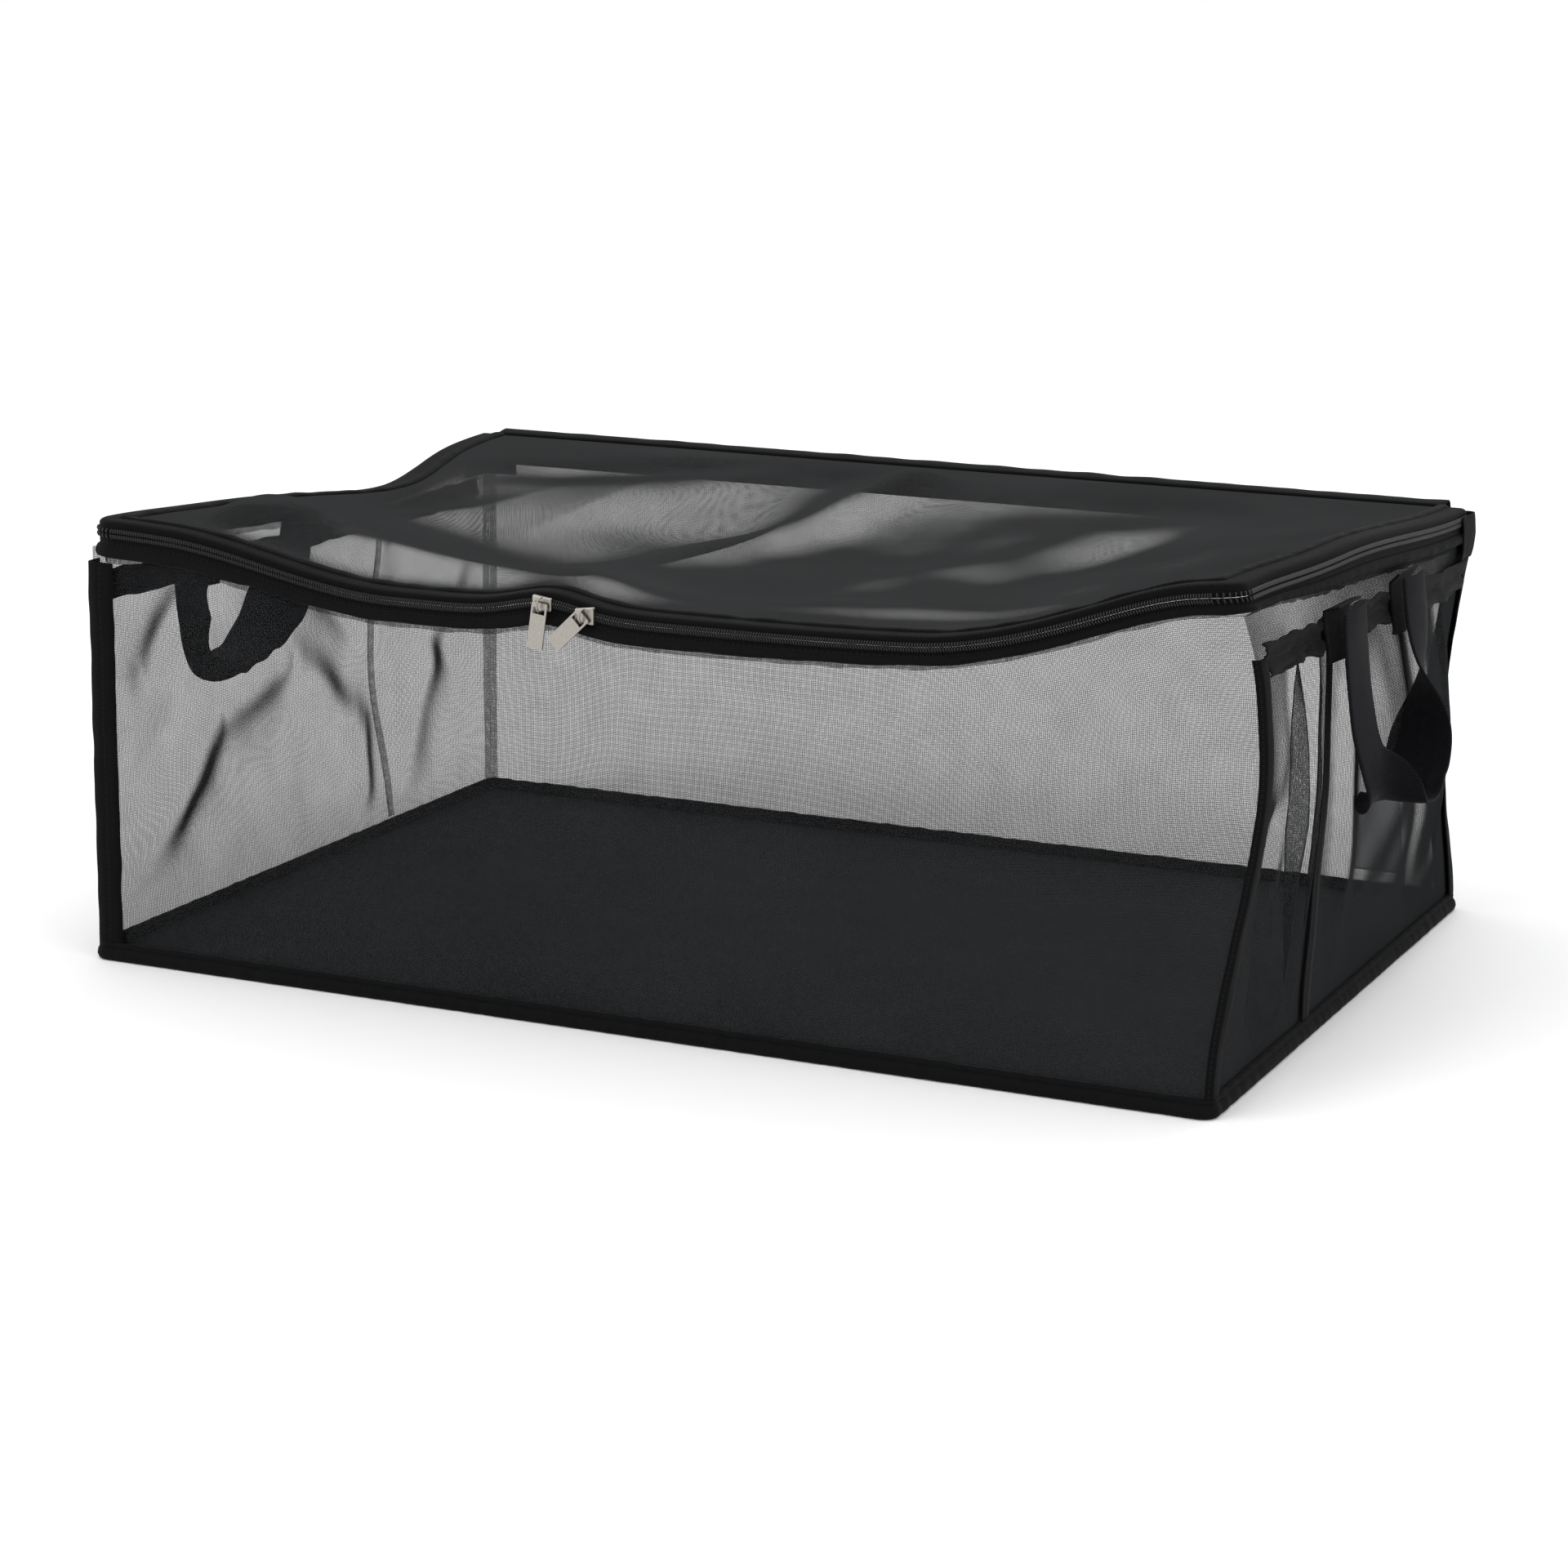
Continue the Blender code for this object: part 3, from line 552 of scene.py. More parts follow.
def walls():
    xs = steps(-HALF_W + WALL_INSET, HALF_W - WALL_INSET, NET_STEP)
    zs = steps(NET_LOW, NET_TOP, NET_STEP)
    front = cloth("front_net", [[front_point(x, z) for z in zs] for x in xs], NET)
    register(front, "bag", ["front_mesh_wall"])
    back_z = steps(NET_LOW, BACK_NET_TOP, NET_STEP)
    back = cloth("back_net", [[back_point(x, z) for z in back_z] for x in reversed(xs)], NET)
    register(back, "bag", ["back_mesh_wall"])
    ys = steps(-HALF_D + WALL_INSET, HALF_D - WALL_INSET, END_NET_STEP)
    for side, across in SIDES:
        rows = [[side_point(side, y, z) for z in zs] for y in ys[:: side]]
        wall = cloth(f"{across}_net", rows, NET)
        register(wall, "bag", [f"{across}_mesh_wall"])


def bottom():
    """Woven bottom with slight waves, calm near its sewn edge."""
    inset = 0.0016
    step = 0.008
    level = 0.0022
    waves = 0.0012
    margin = 0.03

    def point(x, y):
        calm = ease((HALF_W - abs(x)) / margin) * ease((HALF_D - abs(y)) / margin)
        wave = ripple(x, y, 0.09, 5.0) + 0.5 * ripple(x, y, 0.03, 6.0)
        return Vector((x, y, level + waves * calm * wave))

    xs = steps(-HALF_W + inset, HALF_W - inset, step)
    ys = steps(-HALF_D + inset, HALF_D - inset, step)
    panel = cloth("bottom_cloth", [[point(x, y) for y in ys] for x in xs], TWILL, 0.0018)
    register(panel, "bag", ["bottom_panel"])


def base_outline(step):
    """(place, outward direction, distance along) round the base."""
    out = []
    way = 0.0
    half_x, half_y = HALF_W - BASE_CORNER, HALF_D - BASE_CORNER
    legs = (
        (Vector((half_x, -half_y)), Vector((0, 1)), 2 * half_y, Vector((1, 0))),
        (Vector((half_x, half_y)), Vector((-1, 0)), 2 * half_x, Vector((0, 1))),
        (Vector((-half_x, half_y)), Vector((0, -1)), 2 * half_y, Vector((-1, 0))),
        (Vector((-half_x, -half_y)), Vector((1, 0)), 2 * half_x, Vector((0, -1))),
    )
    for start, along, length, outward in legs:
        for t in steps(0.0, length, step):
            out.append((start + along * t + outward * BASE_CORNER, outward, way + t))
        way += length
        for i in range(1, 5):
            angle = math.pi / 2 * i / 5
            turn = outward * math.cos(angle) + along * math.sin(angle)
            corner = start + along * length
            out.append((corner + turn * BASE_CORNER, turn, way + BASE_CORNER * angle))
        way += BASE_CORNER * math.pi / 2
    return out


def base_tape():
    """Folded tape round the bottom edge: a flat sleeve, puckered by its stitching."""
    # How far out each point stands, and its height.
    profile = (
        (-0.0016, 0.0004), (0.0010, 0.0001), (0.0024, 0.0009), (0.0030, 0.0026), (0.0027, 0.0046),
        (0.0018, 0.0061), (0.0007, 0.0070), (0.0012, 0.0080), (0.0011, 0.0090), (0.0001, 0.0096),
        (-0.0016, 0.0093),
    )
    rows = []
    for place, outward, way in base_outline(0.0022):
        pucker = noise.noise(Vector((way / 0.0075, 0.3, 9.0)))
        pucker += 0.6 * noise.noise(Vector((way / 0.019, 4.0, 2.0)))
        row = []
        for stand, z in profile:
            swell = 0.0011 * pucker * bell(z - 0.0045, 0.0035)
            lift = 0.0006 * pucker * ease(z / 0.012)
            flat = place + outward * (stand + swell)
            row.append(Vector((flat.x, flat.y, max(z + lift, 0.0001))))
        rows.append(row)
    tape = cloth("base_tape", rows, BINDING, 0.0008, ring=True)
    register(tape, "bag", ["base_binding"])


def corner_tapes():
    """Tapes over the upright corners. The front right one is narrow and ends at the band."""
    for side, across in SIDES:
        for end, along in ((-1, "front"), (1, "back")):
            top = BAND_HIGH - 0.006 if side > 0 > end else WALL_TOP
            levels = steps(BASE_TOP - 0.004, top, 0.0040)
            seed = 11.0 + side + 3 * end
            # Across the tape: how far in from the corner along the front or back, then the end.
            spots = (
                (TAPE_WIDTH, 0.0), (0.0090, 0.0), (BASE_CORNER, 0.0), (0.0030, 0.0008),
                (0.0010, 0.0022), (0.0, 0.0040), (0.0, 0.0060), (0.0, 0.0090), (0.0, TAPE_WIDTH),
            )
            if side > 0 > end:
                spots = ((0.0034, 0.0),) + spots[4:]
            elif side < 0 and end < 0:
                spots = ((0.0165, 0.0),) + spots
            elif side < 0:
                spots = spots[2:7]
            rows = []
            for inward_x, inward_y in spots:
                row = []
                for z in levels:
                    x, y = side * (HALF_W - inward_x), end * (HALF_D - inward_y)
                    point = slouch(x, y, z)
                    if inward_y == 0.0:
                        base = (front_point if end < 0 else back_point)(x, z, 0.0)
                    else:
                        base = side_point(side, y, z, 0.0)
                    wave = 0.0007 * ripple(inward_x + inward_y, z, 0.016, seed)
                    out = Vector((side, end, 0.0)).normalized()
                    row.append(point.lerp(base, 0.8) + out * (0.0004 + wave * ease(z / 0.05)))
                rows.append(row)
            name = f"corner_tape_{along}_{across}_cloth"
            sheer = side < 0 < end
            look, thick = (NET_DOUBLE, 0.0) if sheer else (CORNER_TAPE, 0.0007)
            tape = cloth(name, rows[:: -side * end], look, thick, turn=True)
            register(tape, "bag", [f"corner_tape_{along}_{across}"])


def end_wall_tapes():
    """The upright seam in each end wall, and the band across it that holds the handle."""
    for side, across, seam in ((-1, "left", LEFT_SEAM_Y), (1, "right", RIGHT_SEAM_Y)):
        levels = steps(BASE_TOP, BAND_LOW + 0.001, 0.0040)
        rows = []
        half = SEAM_HALF if side > 0 else SEAM_HALF * 0.6
        for v in steps(-half, half, 0.0015):
            stand = Vector((side * 0.0008 * bell(v, 0.003), 0.0, 0.0))
            row = []
            for z in levels:
                y = seam + v + 0.0015 * ripple(z, 0.0, 0.05, 7.0)
                row.append(side_point(side, y, z, -0.0002) + stand)
            rows.append(row)
        sheer = side < 0
        look, thick = (NET_DOUBLE, 0.0) if sheer else (SEAM_TAPE, 0.0006)
        tape = cloth(f"{across}_seam_cloth", rows[:: side], look, thick, turn=True)
        register(tape, "bag", [f"{across}_seam_tape"])

        rows = []
        for y in steps(-HALF_D + 0.0125, HALF_D - 0.0125, 0.0030):
            row = []
            for v in steps(0.0, 1.0, 0.1):
                z = BAND_LOW + (BAND_HIGH - BAND_LOW) * v
                z += 0.0016 * ripple(y, 0.0, 0.018, 8.0 + side)
                fold = 0.0012 * math.sin(9.0 * v + 4.0 * ripple(y, v, 0.05, 12.0))
                row.append(side_point(side, y, z, -0.0004) + Vector((side * fold, 0.0, 0.0)))
            rows.append(row)
        band = cloth(f"{across}_band_cloth", rows[:: side], SEAM_TAPE, 0.0007)
        register(band, "bag", [f"{across}_handle_band"])


def care_label():
    """A blank satin label that curls a little away from the back wall."""
    left, right, low, high, step = 0.2640, 0.2960, 0.0180, 0.0620, 0.0020
    rows = []
    for x in reversed(steps(left, right, step)):
        row = []
        for z in steps(low, high, step):
            lift = 0.0012 + 0.0008 * math.sin((x - left) * 90.0) * ease((high - z) / 0.03)
            row.append(back_point(x, z, WALL_INSET + 0.0020) - Vector((0.0, lift, 0.0)))
        rows.append(row)
    label = cloth("blank_label", rows, LABEL, 0.0004)
    register(label, "bag", ["care_label"])


# Rim.
RIM_ENDS = 0.0120
RIM_STEP = 0.0035


def rim_line(step):
    """(place, outward direction) along the left side, the front and the right side."""
    path = []
    for y in steps(HALF_D - RIM_ENDS, -HALF_D + RIM_CORNER, step):
        path.append((Vector((-HALF_W, y)), Vector((-1.0, 0.0))))
    turns = 8
    for side in (-1, 1):
        centre = Vector((side * (HALF_W - RIM_CORNER), -HALF_D + RIM_CORNER))
        arc = []
        for i in range(1, turns):
            angle = math.pi / 2 * i / turns
            out = Vector((side * math.cos(angle), -math.sin(angle)))
            arc.append((centre + RIM_CORNER * out, out))
        if side < 0:
            path += arc
            for x in steps(-HALF_W + RIM_CORNER, HALF_W - RIM_CORNER, step):
                path.append((Vector((x, -HALF_D)), Vector((0.0, -1.0))))
        else:
            path += reversed(arc)
    for y in steps(-HALF_D + RIM_CORNER, HALF_D - RIM_ENDS, step):
        path.append((Vector((HALF_W, y)), Vector((1.0, 0.0))))
    return path


def narrow(place):
    """How much of the rim's full height shows below the teeth; the rest is rolled under."""
    corner = bell((place - Vector((HALF_W, -HALF_D))).length, RIM_ROLL_REACH)
    return RIM_SHOWS - RIM_ROLLS_UNDER * corner


def rim_rows(profile, wave=None):
    """Rows along the rim; the profile is (distance in from the box's side, height) pairs."""
    rows = []
    way = 0.0
    last = None
    for place, out in rim_line(RIM_STEP):
        way += (place - last).length if last is not None else 0.0
        last = place
        row = []
        for inward, z in profile:
            if wave is not None:
                inward, z = wave(way, inward, z)
            if z < COIL_MIDDLE:
                z = COIL_MIDDLE - (COIL_MIDDLE - z) * narrow(place)
            point = place - out * inward
            row.append(slouch(point.x, point.y, z))
        rows.append(row)
    return rows


def rim():
    """The body's half of the rim: rolled binding, zip tape and the frayed edge of the nets."""
    def bumpy(way, inward, z):
        low = ease((BINDING_TOP - z) / 0.005)
        swell = 0.0010 * noise.noise(Vector((way / 0.012, 1.0, 0.0)))
        drop = 0.0014 * noise.noise(Vector((way / 0.022, 7.0, 0.0)))
        return inward - swell * low, z + drop * low

    roll = [(0.0024, 0.2165), (0.0010, 0.2160), (-0.0008, 0.2170), (-0.0014, 0.2190),
            (-0.0012, 0.2215), (-0.0004, 0.2236), (0.0010, 0.2246)]
    tape = cloth("rim_binding_cloth", rim_rows(roll, wave=bumpy), BINDING, 0.0007)
    register(tape, "bag", ["body_rim_binding"])

    flat = [(RIM_INSET + 0.0002, z) for z in steps(0.2236, 0.2336, 0.0015)]
    tape = cloth("body_zip_tape_cloth", rim_rows(flat), ZIP_TAPE, 0.0008)
    register(tape, "bag", ["body_zip_tape"])

    hem_top = 0.2180

    def frayed(way, inward, z):
        low = ease((hem_top - z) / 0.006)
        return inward, z - 0.0022 * low * (0.5 + noise.noise(Vector((way / 0.014, 3.0, 5.0))))

    hem = [(0.0034, z) for z in steps(hem_top, 0.2120, 0.0015)]
    fringe = cloth("rim_seam_allowance", rim_rows(hem, wave=frayed), NET_DOUBLE)
    register(fringe, "bag", [])


# The coil. A tooth runs from its low end to its high end: (height, thickness, how far it stands
# out), with height as a share of TOOTH_HALF and thickness as a share of TOOTH_WIDE and TOOTH_DEEP.
COIL_PITCH = 0.00145
COIL_RISE = 0.00135
COIL_HALF = 0.00125
TOOTH_HALF = 0.00140
TOOTH_SLANT = 0.00030
TOOTH_WIDE = 0.00115
TOOTH_DEEP = 0.0013
TOOTH = (
    (-1.0, 0.30, -0.0003), (-0.72, 0.46, 0.0004), (0.0, 0.50, 0.0008),
    (0.72, 0.50, 0.0006), (1.0, 0.32, -0.0002),
)
TOOTH_SIDES = 6


def teeth(name, body, node, level, lean):
    """One side of the coil: a row of slanted loops, each a small rounded bar."""
    line = rim_line(COIL_PITCH)
    mesh = bmesh.new()
    for i, (place, out) in enumerate(line[1:-1], 1):
        back = slouch(line[i - 1][0].x, line[i - 1][0].y, level)
        ahead = slouch(line[i + 1][0].x, line[i + 1][0].y, level)
        centre = place - out * (RIM_INSET - 0.0004)
        low = slouch(centre.x, centre.y, level - COIL_HALF)
        high = slouch(centre.x, centre.y, level + COIL_HALF)
        along = (ahead - back).normalized()
        up = (high - low).normalized()
        face = along.cross(up).normalized()
        if face.dot(Vector((out.x, out.y, 0.0))) < 0.0:
            face = -face
        middle = (low + high) / 2
        rings = []
        for t, thick, stand in TOOTH:
            centre = middle + up * (t * TOOTH_HALF) + along * (lean * t * TOOTH_SLANT)
            centre = centre + face * stand
            ring = []
            for k in range(TOOTH_SIDES):
                angle = math.pi * k / (TOOTH_SIDES // 2)
                offset = along * math.cos(angle) * thick * TOOTH_WIDE
                offset = offset + face * math.sin(angle) * thick * TOOTH_DEEP
                ring.append(mesh.verts.new(centre + offset))
            rings.append(ring)
        for one, two in zip(rings, rings[1:]):
            for k in range(TOOTH_SIDES):
                after = (k + 1) % TOOTH_SIDES
                mesh.faces.new((one[k], one[after], two[after], two[k]))
        mesh.faces.new(rings[0][::-1])
        mesh.faces.new(rings[-1])
    bmesh.ops.recalc_face_normals(mesh, faces=mesh.faces)
    data = bpy.data.meshes.new(name)
    mesh.to_mesh(data)
    mesh.free()
    register(link(name, data, NYLON), body, [node])


# Lid. A crease is (x, y) of both ends, half width and height.
LID_STEP = 0.0032
LID_LAP = 0.002
LID_CREASES = (
    (-0.310, -0.130, -0.200, -0.158, 0.046, 0.0140),
    (-0.220, -0.158, -0.040, -0.188, 0.040, 0.0130),
    (-0.160, -0.198, -0.060, -0.206, 0.014, -0.0020),
    (-0.250, 0.020, -0.070, -0.050, 0.075, -0.0220),
    (-0.180, 0.090, -0.040, 0.050, 0.060, -0.0100),
    (-0.085, -0.130, 0.000, 0.215, 0.022, 0.0120),
    (0.030, -0.150, 0.060, 0.110, 0.026, -0.0030),
    (0.010, 0.175, 0.300, 0.168, 0.044, 0.0085),
    (0.030, 0.100, 0.260, 0.080, 0.046, 0.0060),
    (0.060, -0.090, 0.150, 0.070, 0.020, 0.0040),
    (0.130, -0.070, 0.200, 0.080, 0.018, -0.0040),
    (0.190, -0.090, 0.280, 0.050, 0.022, 0.0040),
    (-0.040, -0.185, 0.250, -0.130, 0.022, 0.0035),
    (-0.270, 0.110, -0.120, 0.190, 0.020, -0.0035),
    (0.200, 0.180, 0.300, 0.150, 0.014, -0.0020),
)


def lid_height(x, y):
    """How far the slack lid cloth strays from its sewn edge level."""
    in_x = (HALF_W - LID_INSET - abs(x)) / 0.045
    in_y = min(y + HALF_D - LID_INSET, LID_BACK_Y - 0.010 - y) / 0.040
    loose = ease(in_x) * ease(in_y)
    bowl = -0.006 * math.sin(math.pi * clamp((y + HALF_D) / DEPTH) ** 0.8)
    bowl *= math.cos(math.pi * x / (WIDTH * 1.05))
    return loose * (bowl + ridges(x, y, LID_CREASES) + 0.0015 * ripple(x, y, 0.05, 21.0))


def lid_point(x, y):
    point = slouch(x, y, LID_LEVEL)
    point.z += lid_height(x, y)
    return point


def lid():
    """The lid's net, its zip tape and rolled binding, and both rows of teeth."""
    xs = steps(-HALF_W + LID_INSET - LID_LAP, HALF_W - LID_INSET + LID_LAP, LID_STEP)
    ys = steps(-HALF_D + LID_INSET - LID_LAP, LID_BACK_Y - 0.009, LID_STEP)
    panel = cloth("lid_net_painted_sheen", [[lid_point(x, y) for y in ys] for x in xs], LID_NET_PAINTED_SHEEN)
    register(panel, "lid", ["lid_mesh_panel"])

    edge = [(RIM_INSET + 0.0002, z) for z in steps(0.2341, 0.2386, 0.0012)]
    edge += [(0.0020, 0.2394), (0.0034, 0.2400)]
    edge += [(inward, 0.2401) for inward in steps(0.0050, 0.0125, 0.0015)]
    tape = cloth("lid_zip_tape_cloth", rim_rows(edge), ZIP_TAPE, 0.0007)
    register(tape, "lid", ["lid_zip_tape"])

    def rolled(way, inward, z):
        swell = 0.0008 * noise.noise(Vector((way / 0.014, 2.0, 3.0)))
        return inward, z + swell

    roll = [(0.0115, 0.2395), (0.0118, 0.2406), (0.0130, 0.2414), (0.0150, 0.2415),
            (0.0172, 0.2412), (0.0188, 0.2404), (0.0190, 0.2394)]
    tape = cloth("lid_edge_cloth", rim_rows(roll, wave=rolled), BINDING, 0.0006)
    register(tape, "lid", ["lid_edge_binding"])

    teeth("lid_teeth", "lid", "lid_zip_coil", COIL_MIDDLE + COIL_RISE, 1.0)
    teeth("body_teeth", "bag", "body_zip_coil", COIL_MIDDLE - COIL_RISE, -1.0)


def hinge():
    """Folded tape that hinges the lid to the back wall and covers the lid's back edge."""
    ends = 0.014
    rows = []
    for x in steps(-HALF_W + ends, HALF_W - ends, 0.0040):
        roll = 0.0006 * noise.noise(Vector((x / 0.020, 5.0, 1.0)))
        lid_line = slouch(x, LID_BACK_Y, LID_LEVEL)
        wall_line = slouch(x, HALF_D - 0.0002, 0.2350)
        # Up the back wall, over the hinge line and forward along the lid.
        rows.append([
            back_point(x, 0.2190, -0.0006),
            back_point(x, 0.2230, -0.0010 - roll),
            slouch(x, HALF_D + 0.0012, 0.2290),
            wall_line + Vector((0.0, 0.0013 + roll, 0.0)),
            Vector((x, HINGE_Y + 0.0014, HINGE_Z)),
            lid_line + Vector((0.0, 0.0022, 0.0009)),
            lid_line + Vector((0.0, 0.0, 0.0022 + roll)),
            slouch(x, LID_BACK_Y - 0.0040, LID_LEVEL) + Vector((0.0, 0.0, 0.0020 + roll)),
            slouch(x, LID_BACK_Y - 0.0090, LID_LEVEL) + Vector((0.0, 0.0, 0.0013)),
            slouch(x, LID_BACK_Y - 0.0110, LID_LEVEL) + Vector((0.0, 0.0, 0.0004)),
        ])
    tape = cloth("hinge_tape", rows, BINDING, 0.0008)
    bpy.context.view_layer.objects.active = tape
    with bpy.context.temp_override(object=tape):
        bpy.ops.object.modifier_apply(modifier="thickness")
    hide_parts("hinge_binding", "lid_back_binding")
    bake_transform(tape)


def zip_ends():
    """Tape that closes each end of the zip and wraps round the back corner under the hinge."""
    turn = 0.0040
    out_x, out_y = HALF_W + 0.0014, HALF_D + 0.0014
    low, high, step = 0.2120, 0.2370, 0.0020
    tall = 0.025
    for side, across in SIDES:
        path = [(out_x, y) for y in steps(HALF_D - 0.0275, out_y - turn, step)]
        for angle in steps(0.3, 1.27, 0.32):
            path.append((out_x - turn * (1.0 - math.cos(angle)),
                         out_y - turn * (1.0 - math.sin(angle))))
        path += [(x, out_y) for x in steps(out_x - turn, HALF_W - 0.0200, step)]
        rows = []
        for x, y in path:
            row = []
            for z in steps(low, high, step):
                swell = 0.0008 * math.sin(math.pi * (z - low) / tall)
                swell += 0.0005 * ripple(x + y, z, 0.008, 31.0)
                out = Vector((side * swell, 0.4 * swell, 0.0))
                row.append(slouch(side * x, y, z) + out)
            rows.append(row)
        tab = cloth(f"{across}_zip_end_cloth", rows[:: side], BINDING, 0.0008)
        register(tab, "bag", [f"{across}_zip_end_tab"])


# Handles.
HANDLE_DROP = {"left": 0.080, "right": 0.110}
HANDLE_Y = {"left": (-0.105, 0.010), "right": (-0.062, 0.062)}
HANDLE_STAND = 0.0060
PIVOT_LEVEL = 0.2140
STRAP_PARTS = 80
STRAP_HALF = 0.0187
STRAP_TWIST = 78.0
# The sewn ends: half width, the levels they cover, and the flap that runs on up behind the strap.
PATCH_HALF = 0.0188
PATCH_LOW = 0.1890
PATCH_MIDDLE = 0.2020
PATCH_HIGH = 0.2150
FLAP_BEHIND = 0.0030
FLAP_ABOVE = 0.0026


def strap_path(side, across):
    """Points along the hanging loop, front to rear, each with the direction across the strap."""
    front_y, rear_y = HANDLE_Y[across]
    front_top = slouch(side * (HALF_W + HANDLE_STAND), front_y, PIVOT_LEVEL)
    rear_top = slouch(side * (HALF_W + HANDLE_STAND), rear_y, PIVOT_LEVEL)
    pivot = (front_top + rear_top) / 2
    pivot.z = max(front_top.z, rear_top.z) + 0.0010
    pivot.x = side * max(abs(front_top.x), abs(rear_top.x))
    half = abs(rear_top.y - front_top.y) / 2
    path = []
    for i in range(STRAP_PARTS + 1):
        t = i / STRAP_PARTS
        swing = math.pi * t
        depth = math.sin(swing)
        y = pivot.y - half * math.cos(swing) * (1.0 - 0.10 * depth)
        z = pivot.z - HANDLE_DROP[across] * depth**0.62
        x = pivot.x + side * (0.004 + 0.014 * depth**0.7 * (0.7 + 0.6 * t))
        turned = ease((t - 0.24) / 0.24)
        twist = math.radians(STRAP_TWIST) * (turned if t < 0.5 else 1.0 - ease((t - 0.74) / 0.24))
        twist += (1 - side) * math.radians(5.0) * ease(t / 0.12) * (1.0 - turned)
        lean = Vector((side * math.sin(twist), math.cos(twist) * (1.0 if t < 0.5 else -1.0), 0.0))
        path.append((Vector((x, y, z)), lean))
    return path


def handles():
    for side, across in SIDES:
        path = strap_path(side, across)
        rows = []
        for i, (place, lean) in enumerate(path):
            along = (path[min(i + 1, STRAP_PARTS)][0] - path[max(i - 1, 0)][0]).normalized()
            wide = (lean - along * lean.dot(along)).normalized()
            face = along.cross(wide)
            t = i / STRAP_PARTS
            crease = 0.0030 * bell(t - 0.42, 0.03) - 0.0025 * bell(t - 0.62, 0.04)
            row = []
            for v in steps(-1.0, 1.0, 0.125):
                cup = 0.0014 * (1.0 - v * v) + crease * v
                cup += 0.0006 * ripple(t * 0.25, v * 0.019, 0.02, 40.0 + side)
                row.append(place + wide * (v * STRAP_HALF) + face * cup)
            rows.append(row)
        strap = cloth(f"{across}_strap", rows, WEBBING, 0.0014)
        register(strap, f"{across}_handle", [f"{across}_handle"])

        pivot = path[0][0]
        for place, y0 in zip(("front", "rear"), HANDLE_Y[across]):
            # slouch() squeezes the wall along y here, so the plain patch is made wider by as much.
            ahead = side_point(side, y0 + PATCH_HALF, PATCH_MIDDLE).y
            squeeze = (ahead - side_point(side, y0 - PATCH_HALF, PATCH_MIDDLE).y) / (2 * PATCH_HALF)
            reach = PATCH_HALF / squeeze
            rows = []
            for y in steps(y0 - reach, y0 + reach, 0.0020):
                row = []
                for z in steps(PATCH_LOW, PATCH_HIGH, 0.0020):
                    stand = 0.0026 + 0.0004 * math.sin((z - PATCH_LOW) * 240.0)
                    row.append(side_point(side, y, z, 0.0) + Vector((side * stand, 0.0, 0.0)))
                hook = Vector((pivot.x - side * FLAP_BEHIND, row[-1].y, pivot.z + FLAP_ABOVE))
                row += [row[-1].lerp(hook, share) for share in (0.25, 0.5, 0.75, 1.0)]
                rows.append(row)
            patch = cloth(f"{across}_handle_{place}_patch", rows[:: side], WEBBING, 0.0014)
            register(patch, "bag", [f"{across}_handle_{place}_end"])


# Zip sliders.
def sliders():
    """The sliders and pull tabs keep their CAD shapes, and take the metal look."""
    for _, across in SIDES:
        for node in (f"{across}_slider_body", f"{across}_slider_bridge", f"{across}_pull_tab"):
            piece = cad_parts[node]
            piece.data.materials.clear()
            piece.data.materials.append(METAL)


# Camera, light and floor. The camera is the photograph's, worked out from the box's edges.
CAMERA_PLACE = (0.88765, -1.96727, 0.59494)
CAMERA_ANGLES = (24.5045, 13.2418, 0.6109)
CAMERA_LENS = 89.2456
WORLD_STRENGTH = 1.05
LAMP_TARGET = (0.0, 0.0, 0.1)
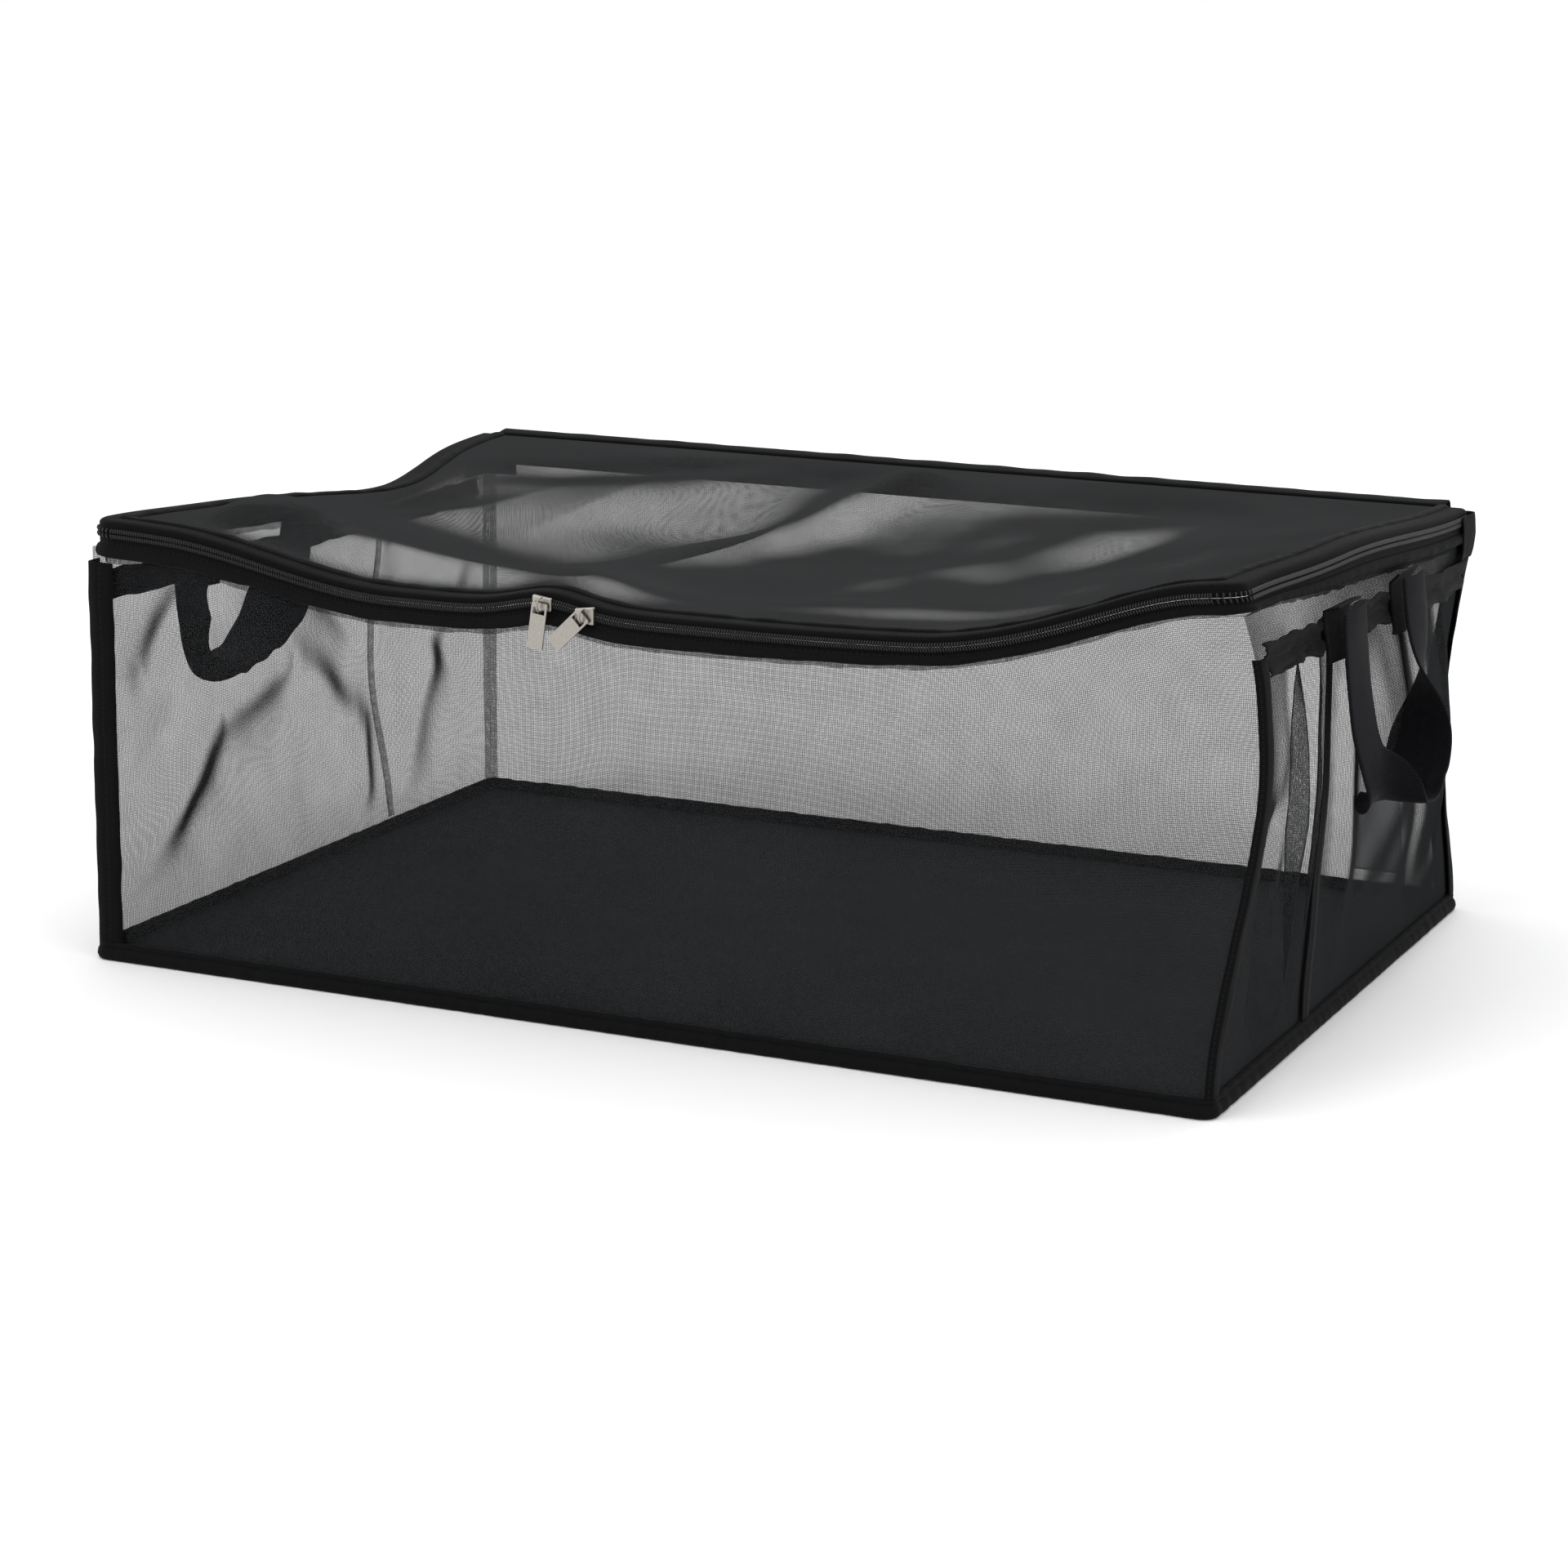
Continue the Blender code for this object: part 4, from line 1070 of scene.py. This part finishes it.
# Name, place, size and watts.
LAMPS = (
    ("key", (-1.2, -1.6, 2.2), 1.6, 20.0),
    ("fill", (2.2, -1.0, 1.3), 1.8, 6.0),
    ("back", (0.3, 2.2, 1.8), 1.8, 14.0),
)
FLOOR_SIZE = 120.0
FLOOR_DROP = 0.0004


def camera_and_light():
    az, el, roll = (math.radians(angle) for angle in CAMERA_ANGLES)
    ahead = Vector((-math.sin(az) * math.cos(el), math.cos(az) * math.cos(el), -math.sin(el)))
    right = Vector((math.cos(az), math.sin(az), 0.0))
    up = right.cross(ahead)
    tilted_right = right * math.cos(roll) + up * math.sin(roll)
    tilted_up = up * math.cos(roll) - right * math.sin(roll)
    data = bpy.data.cameras.new("camera")
    data.lens = CAMERA_LENS
    data.sensor_width = 36.0
    data.clip_end = 50.0
    camera = bpy.data.objects.new("camera", data)
    turn = Matrix((tilted_right, tilted_up, -ahead)).transposed()
    camera.matrix_world = Matrix.Translation(CAMERA_PLACE) @ turn.to_4x4()
    bpy.context.scene.collection.objects.link(camera)
    bpy.context.scene.camera = camera

    for name, place, size, power in LAMPS:
        lamp = bpy.data.lights.new(name, "AREA")
        lamp.shape = "SQUARE"
        lamp.size = size
        lamp.energy = power
        holder = bpy.data.objects.new(name, lamp)
        holder.location = place
        toward = Vector(LAMP_TARGET) - Vector(place)
        holder.rotation_euler = toward.to_track_quat("-Z", "Y").to_euler()
        bpy.context.scene.collection.objects.link(holder)

    world = bpy.data.worlds.new("studio")
    world.use_nodes = True
    background = world.node_tree.nodes["Background"]
    background.inputs["Color"].default_value = (1.0, 1.0, 1.0, 1.0)
    background.inputs["Strength"].default_value = WORLD_STRENGTH
    bpy.context.scene.world = world
    bpy.context.scene.view_settings.view_transform = "Standard"


def floor():
    bpy.ops.mesh.primitive_plane_add(size=FLOOR_SIZE, location=(0.0, 0.0, -FLOOR_DROP))
    ground = bpy.context.active_object
    ground.name = "floor"
    look = Look("floor_paint")
    look.tint(look.noise(3.0), (0.94, 0.94, 0.94), (0.96, 0.96, 0.96))
    look.set(Roughness=0.9)
    ground.data.materials.append(look.material)


camera_and_light()
floor()
bottom()
base_tape()
walls()
corner_tapes()
end_wall_tapes()
care_label()
rim()
lid()
hinge()
zip_ends()
handles()
sliders()
